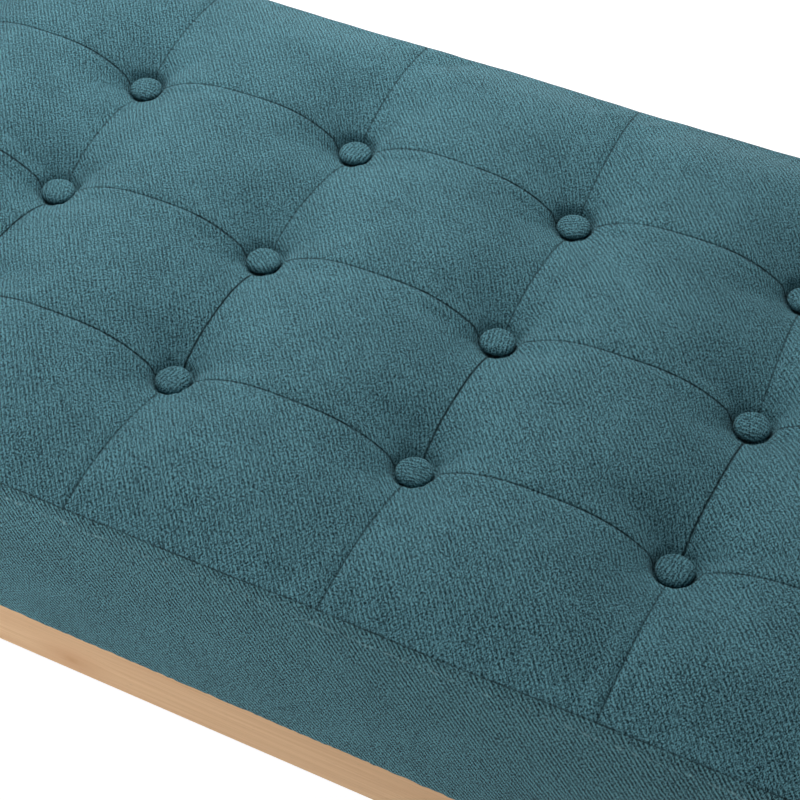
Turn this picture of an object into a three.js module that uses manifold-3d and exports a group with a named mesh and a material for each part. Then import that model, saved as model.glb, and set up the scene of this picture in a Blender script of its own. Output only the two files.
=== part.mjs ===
// Upholstered bench: a seat tufted with covered buttons on a light wood frame with four splayed legs.
// Millimetres, +Z up, the floor at z = 0, the length along X and the front towards -Y.
// The seat's top is a grid of sewn cells, with a button at every crossing of the seams inside its edge.
import * as THREE from 'three';
import { mergeVertices } from 'three/addons/utils/BufferGeometryUtils.js';
import Module from 'manifold-3d';

const wasm = await Module();
wasm.setup();

// Driving dimensions of the seat
const columnCount = 8;
const rowCount = 4;
const cellLength = 160;
const cellDepth = 117.5;
const cornerRadius = 22;
const bandHeight = 120;
const bandFootOut = 4;
const bandBulge = 5;
const hemWidth = 30;
const clothThickness = 1.5;
const deckThickness = 12;

// The tufted top: how far the cloth under its buttons lies below the edge seam, and rises over that cloth
const buttonDraw = 11;
const rowSeamRise = 25;
const columnSeamRise = 12;
const edgeCellRise = 20;
const crownOverSeam = 3;

// Covered buttons and the twine that draws them down
const buttonDiameter = 22.5;
const buttonHeight = 6;
const buttonWall = 2.2;
const pocketClearance = 1;
const twineDiameter = 2;
const knotDiameter = 5;

// Wooden frame
const railOut = 3;
const railHeight = 42;
const railThickness = 22;
const railCornerRadius = 21;
const railUnderside = 236;
const crossRailThickness = 30;
const tenonLength = 10;
const tenonThickness = 8;
const tenonShoulder = 8;
const blockSize = 96;
const blockNose = 46;

// Legs with their plates, bolts, glides and the screws that hold the seat
const legInset = 40;
const legSplay = THREE.MathUtils.degToRad(11);
const legTopDiameter = 42;
const legFootDiameter = 24;
const legTopEase = 1.5;
const plateSize = 58;
const plateThickness = 2.5;
const bossDiameter = 34;
const boltDiameter = 8;
const boltInLeg = 38;
const boltInBlock = 24;
const boltTip = 8;
const glideDiameter = 23;
const glideThickness = 5;
const glideEdge = 1.2;
const glidePinDiameter = 3.6;
const glidePinLength = 14;
const screwInset = 20;
const screwHeadDiameter = 9;
const screwHeadDepth = 3.5;
const screwDiameter = 4.5;
const screwTip = 4;
const screwSink = 14;
const screwBite = 8;
const counterboreClearance = 1;

// Dust cover under the frame
const dustThickness = 0.8;
const dustLap = 10;
const dustMargin = 6;

// Clearances: between pieces that touch, for cuts that pass through, and for welding shared corners
const fitGap = 0.3;
const cutOverrun = 2;
const weldDistance = 0.001;

// Sides of the bars and holes that are shared by several pieces
const softHoleSides = 4;
const twineSides = 6;
const boreSides = 8;

// Levels, from the floor up, and half sizes in plan
const up = new THREE.Vector3(0, 0, 1);
const railTop = railUnderside + railHeight;
const hemTop = railTop + fitGap + clothThickness;
const deckUnderside = hemTop + fitGap;
const deckTop = deckUnderside + deckThickness;
const foamUnderside = deckTop + fitGap;
const seamLevel = railTop + fitGap + bandHeight;
const clothFloor = seamLevel - buttonDraw;
const waddingUnderside = clothFloor - clothThickness;
const foamTop = waddingUnderside - fitGap;
const buttonBase = clothFloor + fitGap;
const halfLength = (columnCount * cellLength) / 2;
const halfDepth = (rowCount * cellDepth) / 2;
const frameHalfLength = halfLength + railOut;
const frameHalfDepth = halfDepth + railOut;
const innerHalfLength = frameHalfLength - railThickness;
const innerHalfDepth = frameHalfDepth - railThickness;
const pocketHalf = buttonDiameter / 2 + pocketClearance;
const crossings = (count, size) => Array.from({ length: count - 1 }, (_, i) => (i + 1 - count / 2) * size);
const buttonXs = crossings(columnCount, cellLength);
const buttonYs = crossings(rowCount, cellDepth);
const rowNames = ['front', 'middle', 'back'];

// Colours and finishes
const finish = (color, roughness, metalness = 0) =>
  new THREE.MeshStandardMaterial({ color, roughness, metalness });
const upholstery = finish(0x4b737a, 0.95);
const foamFill = finish(0xe6d9a8, 0.9);
const fairWood = finish(0xc6a27e, 0.5);
const plywood = finish(0xb99a6d, 0.7);
const dustCloth = finish(0x1c1c1e, 0.95);
const waxedTwine = finish(0xd8cfb4, 0.8);
const zincSteel = finish(0xa9adb0, 0.35, 1);
const nylon = finish(0x2a2826, 0.55);

// A closed geometry as a solid that can be joined and cut.
function solidOf(geometry) {
  const bare = geometry.clone();
  bare.deleteAttribute('normal');
  bare.deleteAttribute('uv');
  const welded = mergeVertices(bare, weldDistance);
  const mesh = new wasm.Mesh({
    numProp: 3,
    vertProperties: new Float32Array(welded.attributes.position.array),
    triVerts: new Uint32Array(welded.index.array),
  });
  return new wasm.Manifold(mesh);
}

// A solid back as a three.js geometry.
function geometryOf(solid) {
  const mesh = solid.getMesh();
  const geometry = new THREE.BufferGeometry();
  geometry.setAttribute('position', new THREE.BufferAttribute(mesh.vertProperties, 3));
  geometry.setIndex(new THREE.BufferAttribute(mesh.triVerts, 1));
  geometry.computeVertexNormals();
  return geometry;
}

// A named piece in the scene graph.
function piece(name, geometry, material) {
  const mesh = new THREE.Mesh(geometry, material);
  mesh.name = name;
  return mesh;
}

// A box between two corners.
function boxBetween(low, high) {
  const size = high.clone().sub(low);
  return new THREE.BoxGeometry(size.x, size.y, size.z).translate(
    low.x + size.x / 2,
    low.y + size.y / 2,
    low.z + size.z / 2,
  );
}

const cylinderAxis = new THREE.Vector3(0, 1, 0);

// A round bar of the given diameter from one point to another.
function barBetween(from, to, diameter, sides) {
  const axis = to.clone().sub(from);
  const turn = new THREE.Quaternion().setFromUnitVectors(cylinderAxis, axis.clone().normalize());
  return new THREE.CylinderGeometry(diameter / 2, diameter / 2, axis.length(), sides)
    .applyQuaternion(turn)
    .translate((from.x + to.x) / 2, (from.y + to.y) / 2, (from.z + to.z) / 2);
}

// The solid to cut for a hole that clears a round bar: its flats, not its corners, stand off by the fit gap.
function boreBetween(from, to, diameter, sides) {
  return solidOf(barBetween(from, to, (diameter + 2 * fitGap) / Math.cos(Math.PI / sides), sides));
}

// A turned piece: a profile of [radius, height] points swept about the Z axis.
function turned(profile, sides) {
  const points = profile.map(([radius, height]) => new THREE.Vector2(radius, height));
  return new THREE.LatheGeometry(points, sides).rotateX(Math.PI / 2);
}

// The seat's outline in plan, moved outwards by a distance, with three points on each rounded corner.
function outline(out, z) {
  const radius = Math.max(cornerRadius + out, clothThickness);
  const centreX = halfLength + out - radius;
  const centreY = halfDepth + out - radius;
  const quarters = [[1, 1], [-1, 1], [-1, -1], [1, -1]];
  return quarters.flatMap(([sideX, sideY], quarter) =>
    [0, 1, 2].map((step) => {
      const angle = ((quarter * 2 + step) * Math.PI) / 4;
      return new THREE.Vector3(
        sideX * centreX + radius * Math.cos(angle),
        sideY * centreY + radius * Math.sin(angle),
        z,
      );
    }),
  );
}

// A skin over rings of equal point counts: capped at the first and last ring, or closed on itself.
function skin(rings, closesOnItself) {
  const count = rings[0].length;
  const positions = rings.flat().flatMap((point) => point.toArray());
  const faces = [];
  const spans = closesOnItself ? rings.length : rings.length - 1;
  for (let ring = 0; ring < spans; ring += 1) {
    const low = ring * count;
    const high = ((ring + 1) % rings.length) * count;
    for (let i = 0; i < count; i += 1) {
      const next = (i + 1) % count;
      faces.push(low + i, low + next, high + next, low + i, high + next, high + i);
    }
  }
  if (!closesOnItself) {
    const last = (rings.length - 1) * count;
    for (let i = 1; i < count - 1; i += 1) {
      faces.push(0, i + 1, i, last, last + i, last + i + 1);
    }
  }
  const geometry = new THREE.BufferGeometry();
  geometry.setAttribute('position', new THREE.Float32BufferAttribute(positions, 3));
  geometry.setIndex(faces);
  geometry.computeVertexNormals();
  return geometry;
}

// Lines of the tufted top's grid along one side: on the seams, at the button pockets and over the crowns.
function gridLines(count, size, rollShares, crownShares) {
  const half = (count * size) / 2;
  const roll = size - pocketHalf - cornerRadius;
  const crown = size - 2 * pocketHalf;
  const rolled = rollShares.map((share) => cornerRadius + share * roll);
  const outer = [0, cornerRadius, ...rolled, size - pocketHalf];
  const inner = [pocketHalf, ...crownShares.map((share) => pocketHalf + share * crown), size - pocketHalf];
  const lines = outer.map((place) => place - half);
  for (let cell = 1; cell < count - 1; cell += 1) {
    lines.push(cell * size - half, ...inner.map((place) => cell * size + place - half));
  }
  lines.push(half - size, ...outer.map((place) => half - place).reverse());
  return lines;
}

// How far the cloth has risen out of the nearest seam with buttons, from 0 on it to 1 midway to the next.
function archAt(place, seams, size, power) {
  const distance = Math.min(...seams.map((seam) => Math.abs(place - seam)));
  return 1 - Math.max(0, 1 - (2 * distance) / size) ** power;
}

// How far the cloth has risen from the edge seam, from 0 on it to 1 a cell's width inside it.
function rollAt(place, half, size, power) {
  return 1 - Math.max(0, 1 - (half - Math.abs(place)) / size) ** power;
}

// Height of the tufted top: the seams arch between the buttons, and the cells swell above the seams.
function topHeight(x, y) {
  const nearX = Math.min(...buttonXs.map((place) => Math.abs(x - place)));
  const nearY = Math.min(...buttonYs.map((place) => Math.abs(y - place)));
  if (nearX <= pocketHalf + weldDistance && nearY <= pocketHalf + weldDistance) return clothFloor;
  const powers = { length: 3, depth: 2.2, outer: 3, edge: 4 };
  const outside = Math.abs(y) > halfDepth - cellDepth;
  const lengthArch = archAt(x, buttonXs, cellLength, powers.length);
  const depthArch = outside
    ? 1 - (1 - nearY / cellDepth) ** powers.outer
    : archAt(y, buttonYs, cellDepth, powers.depth);
  const roll = rollAt(x, halfLength, cellLength, powers.edge) * rollAt(y, halfDepth, cellDepth, powers.edge);
  const seamRise = outside ? edgeCellRise : columnSeamRise;
  const swell = seamRise * (1 - lengthArch) + crownOverSeam * lengthArch;
  return clothFloor + buttonDraw * (1 - roll) + roll * (rowSeamRise * lengthArch + swell * depthArch);
}

// Quilted top: the cloth of the seat with the wadding sewn to it, flat below and tufted above.
// The grid is its upper face. The cloth's rim lies on the side band, and the wadding hangs inside the band.
function quiltedTop() {
  const lengthRollShares = [0.3, 0.65];
  const lengthCrownShares = [0.16, 0.5, 0.84];
  const depthRollShares = [0.4];
  const depthCrownShares = [0.22, 0.5, 0.78];
  const xs = gridLines(columnCount, cellLength, lengthRollShares, lengthCrownShares);
  const ys = gridLines(rowCount, cellDepth, depthRollShares, depthCrownShares);
  const lastX = xs.length - 1;
  const lastY = ys.length - 1;
  const cut = cornerRadius * (1 - Math.SQRT1_2);
  const at = (i, j) => j * xs.length + i;
  const positions = [];
  const faces = [];
  ys.forEach((y, j) => {
    xs.forEach((x, i) => {
      const onCorner = (i === 0 || i === lastX) && (j === 0 || j === lastY);
      const inset = onCorner ? cut : 0;
      positions.push(x - Math.sign(x) * inset, y - Math.sign(y) * inset, topHeight(x, y));
      if (i < lastX && j < lastY) {
        const quad = [at(i, j), at(i + 1, j), at(i + 1, j + 1), at(i, j + 1)];
        const leans = (x + xs[i + 1]) * (y + ys[j + 1]) > 0;
        const [a, b, c, d] = leans ? [...quad.slice(1), quad[0]] : quad;
        faces.push(a, b, c, a, c, d);
      }
    });
  });
  const rim = [
    ...xs.slice(0, -1).map((_, i) => [i, 0]),
    ...ys.slice(0, -1).map((_, j) => [lastX, j]),
    ...xs.slice(1).map((_, i) => [lastX - i, lastY]),
    ...ys.slice(1).map((_, j) => [0, lastY - j]),
  ];
  const below = new Map();
  for (const [i, j] of rim) {
    const along = Math.min(i, lastX - i);
    const across = Math.min(j, lastY - j);
    if (along + across <= 1) {
      below.set(at(i, j), positions.length / 3);
      positions.push(...positions.slice(3 * at(i, j), 3 * at(i, j) + 2), waddingUnderside);
    }
  }
  let foot = below.get(at(0, 0));
  rim.forEach(([i, j], place) => {
    const here = at(i, j);
    const next = at(...rim[(place + 1) % rim.length]);
    faces.push(foot, next, here);
    if (below.has(next)) {
      faces.push(foot, below.get(next), next);
      foot = below.get(next);
    }
  });
  const feet = [...below.values()];
  for (let i = 1; i < feet.length - 1; i += 1) faces.push(feet[0], feet[i + 1], feet[i]);
  const geometry = new THREE.BufferGeometry();
  geometry.setAttribute('position', new THREE.Float32BufferAttribute(positions, 3));
  geometry.setIndex(faces);
  const quilt = solidOf(geometry).subtract(bandSpace());
  return geometryOf(cutTwineHoles(quilt, waddingUnderside, clothFloor, softHoleSides));
}

// The space under the cloth's rim that the top of the side band takes up.
function bandSpace() {
  const inside = -clothThickness - fitGap;
  const low = waddingUnderside - cutOverrun;
  const high = seamLevel - clothThickness;
  const outer = [outline(cutOverrun, low), outline(cutOverrun, high)];
  return solidOf(skin([...outer, outline(inside, high), outline(inside, low)], true));
}

// Holes for the twine through a layer of the seat, one under each button.
function cutTwineHoles(layer, low, high, sides) {
  let cutLayer = layer;
  for (const x of buttonXs) {
    for (const y of buttonYs) {
      const from = new THREE.Vector3(x, y, low - cutOverrun);
      const to = new THREE.Vector3(x, y, high + cutOverrun);
      cutLayer = cutLayer.subtract(boreBetween(from, to, twineDiameter, sides));
    }
  }
  return cutLayer;
}

// How far the side band stands out of the edge seam's outline, at a share of its height above its foot.
function bandOut(heightShare) {
  return bandFootOut * (1 - heightShare) + bandBulge * 4 * heightShare * (1 - heightShare);
}

const bandHeightShares = [0, 0.25, 0.5, 0.75, 1];
const bandTop = seamLevel - clothThickness - fitGap;
const bandFoot = railTop + fitGap;
const bandLevel = (share) => bandFoot + share * (bandTop - bandFoot);

// Side band: the strip of cloth round the seat, bulged by the foam, with a hem turned in under the deck.
function sideBand() {
  const outside = bandHeightShares.map((share) => outline(bandOut(share), bandLevel(share)));
  const inside = bandHeightShares
    .filter((share) => share > 0)
    .map((share) => outline(bandOut(share) - clothThickness, bandLevel(share)))
    .reverse();
  const hem = [
    outline(bandFootOut - clothThickness, hemTop),
    outline(bandFootOut - hemWidth, hemTop),
    outline(bandFootOut - hemWidth, bandFoot),
  ];
  return skin([...outside, ...inside, ...hem], true);
}

// Foam block: it fills the band from the deck to the wadding of the quilted top.
function foamBlock() {
  const inset = clothThickness + fitGap;
  const levels = bandHeightShares
    .map((share) => ({ out: bandOut(share) - inset, z: bandLevel(share) }))
    .filter(({ z }) => z > foamUnderside && z < foamTop);
  const rings = [
    outline(bandFootOut - inset, foamUnderside),
    ...levels.map(({ out, z }) => outline(out, z)),
    outline(bandOut((foamTop - bandFoot) / (bandTop - bandFoot)) - inset, foamTop),
  ];
  return geometryOf(cutTwineHoles(solidOf(skin(rings, false)), foamUnderside, foamTop, softHoleSides));
}

// The corners of the frame: a name, the signs of X and Y, and the turn that points the corner's axes inwards.
const corners = [
  { name: 'front_left', sideX: -1, sideY: -1, turn: 0 },
  { name: 'front_right', sideX: 1, sideY: -1, turn: Math.PI / 2 },
  { name: 'back_right', sideX: 1, sideY: 1, turn: Math.PI },
  { name: 'back_left', sideX: -1, sideY: 1, turn: -Math.PI / 2 },
];

// Where a point of a corner's own plan lies on the bench.
function cornerPoint(corner, x, y, z) {
  const point = new THREE.Vector3(x, y, z).applyAxisAngle(up, corner.turn);
  return point.add(new THREE.Vector3(corner.sideX * innerHalfLength, corner.sideY * innerHalfDepth, 0));
}

const screwPlace = { x: blockSize - screwInset, y: screwInset };

// Seat deck: a plywood board under the foam, drilled for the twine and for the four screws from below.
function seatDeck() {
  const out = bandFootOut - clothThickness - fitGap;
  const board = skin([outline(out, deckUnderside), outline(out, deckTop)], false);
  let deck = cutTwineHoles(solidOf(board), deckUnderside, deckTop, twineSides);
  for (const corner of corners) {
    const from = cornerPoint(corner, screwPlace.x, screwPlace.y, deckUnderside - cutOverrun);
    const to = cornerPoint(corner, screwPlace.x, screwPlace.y, deckUnderside + screwBite + fitGap);
    deck = deck.subtract(boreBetween(from, to, screwDiameter, boreSides));
  }
  return geometryOf(deck);
}

// Covered button: a domed shell with a hole in its back for the twine.
function button() {
  const radius = buttonDiameter / 2;
  const sides = 10;
  const hole = (twineDiameter / 2 + fitGap) / Math.cos(Math.PI / sides);
  const backShare = 0.88;
  const rimShare = 0.35;
  const domeShares = [0.7, 0.86];
  return turned(
    [
      [0, buttonHeight - buttonWall],
      [hole, buttonHeight - buttonWall],
      [hole, 0],
      [radius * backShare, 0],
      [radius, buttonHeight * rimShare],
      [radius * domeShares[0], buttonHeight * domeShares[1]],
      [0, buttonHeight],
    ],
    sides,
  );
}

const twineRunLevel = deckUnderside - fitGap - twineDiameter / 2;

// Tufting twine of one row: a run under the deck with a strand up to each button and a knot at both ends.
function tuftTwine(y) {
  const first = new THREE.Vector3(buttonXs[0], y, twineRunLevel);
  const last = new THREE.Vector3(buttonXs[buttonXs.length - 1], y, twineRunLevel);
  const strandTop = buttonBase + buttonHeight - buttonWall - fitGap;
  let twine = solidOf(barBetween(first, last, twineDiameter, twineSides));
  for (const x of buttonXs) {
    const from = new THREE.Vector3(x, y, twineRunLevel);
    const to = new THREE.Vector3(x, y, strandTop);
    twine = twine.add(solidOf(barBetween(from, to, twineDiameter, twineSides)));
  }
  const meridians = 8;
  const parallels = 5;
  const radius = knotDiameter / 2;
  for (const end of [first, last]) {
    const knot = new THREE.SphereGeometry(radius, meridians, parallels);
    knot.translate(end.x, end.y, end.z + twineDiameter / 2 - radius);
    twine = twine.add(solidOf(knot));
  }
  return geometryOf(twine);
}

const endRailX = frameHalfLength - railThickness / 2;
const crossRailX = cellLength * (Math.floor(columnCount / 4) - 1 / 2);

// The tenon of a rail that runs front to back, or with a clearance the mortise that takes it.
function tenon(x, side, clearance) {
  const half = tenonThickness / 2 + clearance;
  const start = side * (innerHalfDepth - cutOverrun);
  const end = side * (innerHalfDepth + tenonLength + clearance);
  return solidOf(
    boxBetween(
      new THREE.Vector3(x - half, Math.min(start, end), railUnderside + tenonShoulder - clearance),
      new THREE.Vector3(x + half, Math.max(start, end), railTop - tenonShoulder + clearance),
    ),
  );
}

// Front or back rail: a long board with its outer corners rounded and four mortises in its inner face.
function longRail(side) {
  const shape = new THREE.Shape();
  const radius = Math.min(railCornerRadius, railThickness);
  shape.moveTo(-frameHalfLength, 0);
  shape.lineTo(frameHalfLength, 0);
  shape.lineTo(frameHalfLength, railThickness - radius);
  shape.absarc(frameHalfLength - radius, railThickness - radius, radius, 0, Math.PI / 2);
  shape.lineTo(radius - frameHalfLength, railThickness);
  shape.absarc(radius - frameHalfLength, railThickness - radius, radius, Math.PI / 2, Math.PI);
  const cornerFlats = 12;
  const run = { depth: railHeight, bevelEnabled: false, curveSegments: cornerFlats };
  const board = new THREE.ExtrudeGeometry(shape, run);
  board.rotateZ(side > 0 ? 0 : Math.PI).translate(0, side * innerHalfDepth, railUnderside);
  let rail = solidOf(board);
  for (const x of [-endRailX, -crossRailX, crossRailX, endRailX]) {
    rail = rail.subtract(tenon(x, side, fitGap));
  }
  return geometryOf(rail);
}

// A rail that runs front to back between the long rails, with a tenon at each end.
function shortRail(x, thickness) {
  const board = boxBetween(
    new THREE.Vector3(x - thickness / 2, fitGap - innerHalfDepth, railUnderside),
    new THREE.Vector3(x + thickness / 2, innerHalfDepth - fitGap, railTop),
  );
  return solidOf(board).add(tenon(x, -1, 0)).add(tenon(x, 1, 0));
}

// Cross rail: a short rail inside the frame, notched on top where the runs of twine pass.
function crossRail(x) {
  let rail = shortRail(x, crossRailThickness);
  const half = twineDiameter / 2 + fitGap;
  const reach = crossRailThickness / 2 + cutOverrun;
  for (const y of buttonYs) {
    const notch = boxBetween(
      new THREE.Vector3(x - reach, y - half, twineRunLevel - half),
      new THREE.Vector3(x + reach, y + half, railTop + cutOverrun),
    );
    rail = rail.subtract(solidOf(notch));
  }
  return geometryOf(rail);
}

// The leg's axis in a corner's own plan, pointing up, and the middle of the leg's top face.
const splayAlong = Math.sin(legSplay) / Math.SQRT2;
const legAxis = new THREE.Vector3(splayAlong, splayAlong, Math.cos(legSplay));
const plateTop = railUnderside - fitGap;
const plateUnderside = plateTop - plateThickness;
const legTopDrop = (legTopDiameter / 2) * Math.sin(legSplay) + fitGap;
const legTop = new THREE.Vector3(legInset, legInset, plateUnderside - legTopDrop);
const legTurn = new THREE.Quaternion().setFromUnitVectors(up, legAxis);
const alongLeg = (distance) => legTop.clone().addScaledVector(legAxis, distance);
const glideTop = glideThickness + fitGap;
const legLength = (legTop.z - glideTop) / Math.cos(legSplay);
const footPoint = alongLeg(-legLength);

// Leg: turned and tapered, bored for its bolt and cut level at the foot.
function leg() {
  const topRadius = legTopDiameter / 2;
  const footRadius = legFootDiameter / 2;
  const sides = 16;
  const bore = (boltDiameter / 2 + fitGap) / Math.cos(Math.PI / sides);
  const overrun = footRadius * Math.tan(legSplay) + cutOverrun;
  const waistShares = [[0.97, 0.7], [0.9, 0.35]];
  const profile = [
    [0, -legLength - overrun],
    [footRadius, -legLength - overrun],
    ...waistShares.map(([wideShare, downShare]) => [
      footRadius + (topRadius - footRadius) * wideShare * (1 - downShare),
      -legLength * downShare,
    ]),
    [topRadius, -legTopEase],
    [topRadius - legTopEase, 0],
    [bore, 0],
    [bore, -boltInLeg - fitGap],
    [0, -boltInLeg - fitGap],
  ];
  const blank = turned(profile, sides).applyQuaternion(legTurn).translate(legTop.x, legTop.y, legTop.z);
  const reach = legTopDiameter;
  const below = boxBetween(
    new THREE.Vector3(footPoint.x - reach, footPoint.y - reach, -reach),
    new THREE.Vector3(footPoint.x + reach, footPoint.y + reach, glideTop),
  );
  const pinHole = boreBetween(
    new THREE.Vector3(footPoint.x, footPoint.y, 0),
    new THREE.Vector3(footPoint.x, footPoint.y, glideTop + glidePinLength + fitGap),
    glidePinDiameter,
    boreSides,
  );
  return geometryOf(solidOf(blank).subtract(solidOf(below)).subtract(pinHole));
}

// Foot glide: a nylon disc with its nail.
function footGlide() {
  const radius = glideDiameter / 2;
  const pin = glidePinDiameter / 2;
  const tall = glideThickness + glidePinLength;
  const sides = 12;
  const profile = [
    [0, 0],
    [radius - glideEdge, 0],
    [radius, glideEdge],
    [radius, glideThickness],
    [pin, glideThickness],
    [pin, tall],
    [0, tall],
  ];
  return turned(profile, sides).translate(footPoint.x, footPoint.y, 0);
}

// Leg plate: a steel plate with a boss that slants to the leg, bored for the bolt.
function legPlate() {
  const half = plateSize / 2;
  const flat = boxBetween(
    new THREE.Vector3(legInset - half, legInset - half, plateUnderside),
    new THREE.Vector3(legInset + half, legInset + half, plateTop),
  );
  const bossTop = alongLeg(bossDiameter);
  const bossSides = 12;
  const boss = barBetween(alongLeg(fitGap), bossTop, bossDiameter, bossSides);
  const above = boxBetween(
    new THREE.Vector3(legInset - plateSize, legInset - plateSize, plateTop),
    new THREE.Vector3(legInset + plateSize, legInset + plateSize, plateTop + 2 * bossDiameter),
  );
  const bore = boreBetween(alongLeg(-cutOverrun), bossTop, boltDiameter, boreSides);
  return geometryOf(solidOf(flat).add(solidOf(boss)).subtract(solidOf(above)).subtract(bore));
}

// Hanger bolt: it runs from the leg through the plate into the corner block, along the leg's axis.
function hangerBolt() {
  const radius = boltDiameter / 2;
  const profile = [
    [0, -boltInLeg],
    [radius, boltTip - boltInLeg],
    [radius, boltInBlock - boltTip / 2],
    [radius * Math.SQRT1_2, boltInBlock],
    [0, boltInBlock],
  ];
  return turned(profile, boreSides).applyQuaternion(legTurn).translate(legTop.x, legTop.y, legTop.z);
}

// Corner block: a wood block in the angle of two rails, bored for the bolt and for the seat's screw.
function cornerBlock() {
  const shape = new THREE.Shape([
    new THREE.Vector2(fitGap, fitGap),
    new THREE.Vector2(blockSize, fitGap),
    new THREE.Vector2(blockSize, blockNose),
    new THREE.Vector2(blockNose, blockSize),
    new THREE.Vector2(fitGap, blockSize),
  ]);
  const blank = new THREE.ExtrudeGeometry(shape, { depth: railHeight, bevelEnabled: false });
  blank.translate(0, 0, railUnderside);
  const bolt = boreBetween(alongLeg(0), alongLeg(boltInBlock + fitGap), boltDiameter, boreSides);
  const at = (z) => new THREE.Vector3(screwPlace.x, screwPlace.y, z);
  const screwHole = boreBetween(at(railUnderside), at(railTop + cutOverrun), screwDiameter, boreSides);
  const headWidth = screwHeadDiameter + 2 * counterboreClearance;
  const headFoot = at(railUnderside - cutOverrun);
  const headHole = boreBetween(headFoot, at(railUnderside + screwSink), headWidth, boreSides);
  return geometryOf(solidOf(blank).subtract(bolt).subtract(screwHole).subtract(headHole));
}

// Deck screw: it goes up through the corner block into the deck.
function deckScrew() {
  const radius = screwDiameter / 2;
  const head = screwHeadDiameter / 2;
  const seat = railUnderside + screwSink - fitGap;
  const end = deckUnderside + screwBite;
  const sides = 10;
  return turned(
    [
      [0, seat - screwHeadDepth],
      [head, seat - screwHeadDepth],
      [head, seat],
      [radius, seat],
      [radius, end - screwTip],
      [0, end],
    ],
    sides,
  ).translate(screwPlace.x, screwPlace.y, 0);
}

// Dust cover: thin cloth under the frame, lapped onto the rails and notched round the leg plates.
function dustCover() {
  const halfX = innerHalfLength + dustLap;
  const halfY = innerHalfDepth + dustLap;
  const notch = legInset + plateSize / 2 + dustLap + dustMargin;
  const quarter = [[halfX, halfY - notch], [halfX - notch, halfY - notch], [halfX - notch, halfY]];
  const turnedRound = [...quarter].reverse();
  const shape = new THREE.Shape(
    [
      ...quarter,
      ...turnedRound.map(([x, y]) => [-x, y]),
      ...quarter.map(([x, y]) => [-x, -y]),
      ...turnedRound.map(([x, y]) => [x, -y]),
    ].map(([x, y]) => new THREE.Vector2(x, y)),
  );
  const cloth = new THREE.ExtrudeGeometry(shape, { depth: dustThickness, bevelEnabled: false });
  return cloth.translate(0, 0, railUnderside - fitGap - dustThickness);
}

// The bench, put together: the seat, the frame, and the leg with its fittings at each corner.
const seat = new THREE.Group();
seat.add(piece('quilted_top', quiltedTop(), upholstery));
seat.add(piece('side_band', sideBand(), upholstery));
seat.add(piece('foam_block', foamBlock(), foamFill));
seat.add(piece('seat_deck', seatDeck(), plywood));
buttonYs.forEach((y, row) => {
  seat.add(piece(`tuft_twine_${rowNames[row] ?? row}`, tuftTwine(y), waxedTwine));
  buttonXs.forEach((x, column) => {
    const covered = piece(`tuft_button_${rowNames[row] ?? row}_${column + 1}`, button(), upholstery);
    covered.position.set(x, y, buttonBase);
    seat.add(covered);
  });
});

const frame = new THREE.Group();
frame.add(piece('front_rail', longRail(-1), fairWood));
frame.add(piece('back_rail', longRail(1), fairWood));
frame.add(piece('left_rail', geometryOf(shortRail(-endRailX, railThickness)), fairWood));
frame.add(piece('right_rail', geometryOf(shortRail(endRailX, railThickness)), fairWood));
frame.add(piece('cross_rail_left', crossRail(-crossRailX), fairWood));
frame.add(piece('cross_rail_right', crossRail(crossRailX), fairWood));
frame.add(piece('dust_cover', dustCover(), dustCloth));

const bench = new THREE.Group();
bench.add(seat, frame);
for (const { name, sideX, sideY, turn } of corners) {
  const corner = new THREE.Group();
  corner.add(piece(`corner_block_${name}`, cornerBlock(), fairWood));
  corner.add(piece(`deck_screw_${name}`, deckScrew(), zincSteel));
  corner.add(piece(`leg_plate_${name}`, legPlate(), zincSteel));
  corner.add(piece(`hanger_bolt_${name}`, hangerBolt(), zincSteel));
  corner.add(piece(`leg_${name}`, leg(), fairWood));
  corner.add(piece(`foot_glide_${name}`, footGlide(), nylon));
  corner.position.set(sideX * innerHalfLength, sideY * innerHalfDepth, 0);
  corner.rotation.z = turn;
  bench.add(corner);
}

export default bench;
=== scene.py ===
import math
import bmesh
import bpy
import numpy as np
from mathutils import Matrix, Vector


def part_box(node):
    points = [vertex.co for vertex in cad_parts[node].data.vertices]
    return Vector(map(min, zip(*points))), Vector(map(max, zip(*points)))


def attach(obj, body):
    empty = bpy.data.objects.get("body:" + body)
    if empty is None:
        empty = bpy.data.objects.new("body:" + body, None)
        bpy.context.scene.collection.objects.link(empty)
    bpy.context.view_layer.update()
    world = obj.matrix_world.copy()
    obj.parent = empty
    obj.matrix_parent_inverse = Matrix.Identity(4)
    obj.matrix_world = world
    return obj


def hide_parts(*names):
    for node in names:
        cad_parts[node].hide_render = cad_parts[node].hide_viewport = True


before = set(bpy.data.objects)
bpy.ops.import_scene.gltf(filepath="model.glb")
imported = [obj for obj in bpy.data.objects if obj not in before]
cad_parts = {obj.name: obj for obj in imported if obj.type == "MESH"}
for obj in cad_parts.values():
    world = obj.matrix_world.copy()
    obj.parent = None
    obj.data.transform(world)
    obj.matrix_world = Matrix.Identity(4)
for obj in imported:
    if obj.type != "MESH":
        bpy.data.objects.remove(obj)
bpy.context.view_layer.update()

# Camera: where a fit to the places of the buttons in the photo puts it, in front of the bench and to its
# right. It is turned 26 degrees to the left and looks 47 degrees down. The fit gives its focal length too.
camera_place = (0.3076, -0.7594, 1.2176)
camera_turn = 0.457735
camera_drop = 0.822929
focal_length = 85.66
sensor_width = 36
camera = bpy.data.objects.new("camera", bpy.data.cameras.new("camera"))
camera.data.lens = focal_length
camera.data.sensor_width = sensor_width
camera.location = camera_place
camera.rotation_euler = (math.pi / 2 - camera_drop, 0, camera_turn)
bpy.context.collection.objects.link(camera)
bpy.context.scene.camera = camera
bpy.context.scene.view_settings.view_transform = "Standard"

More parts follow.
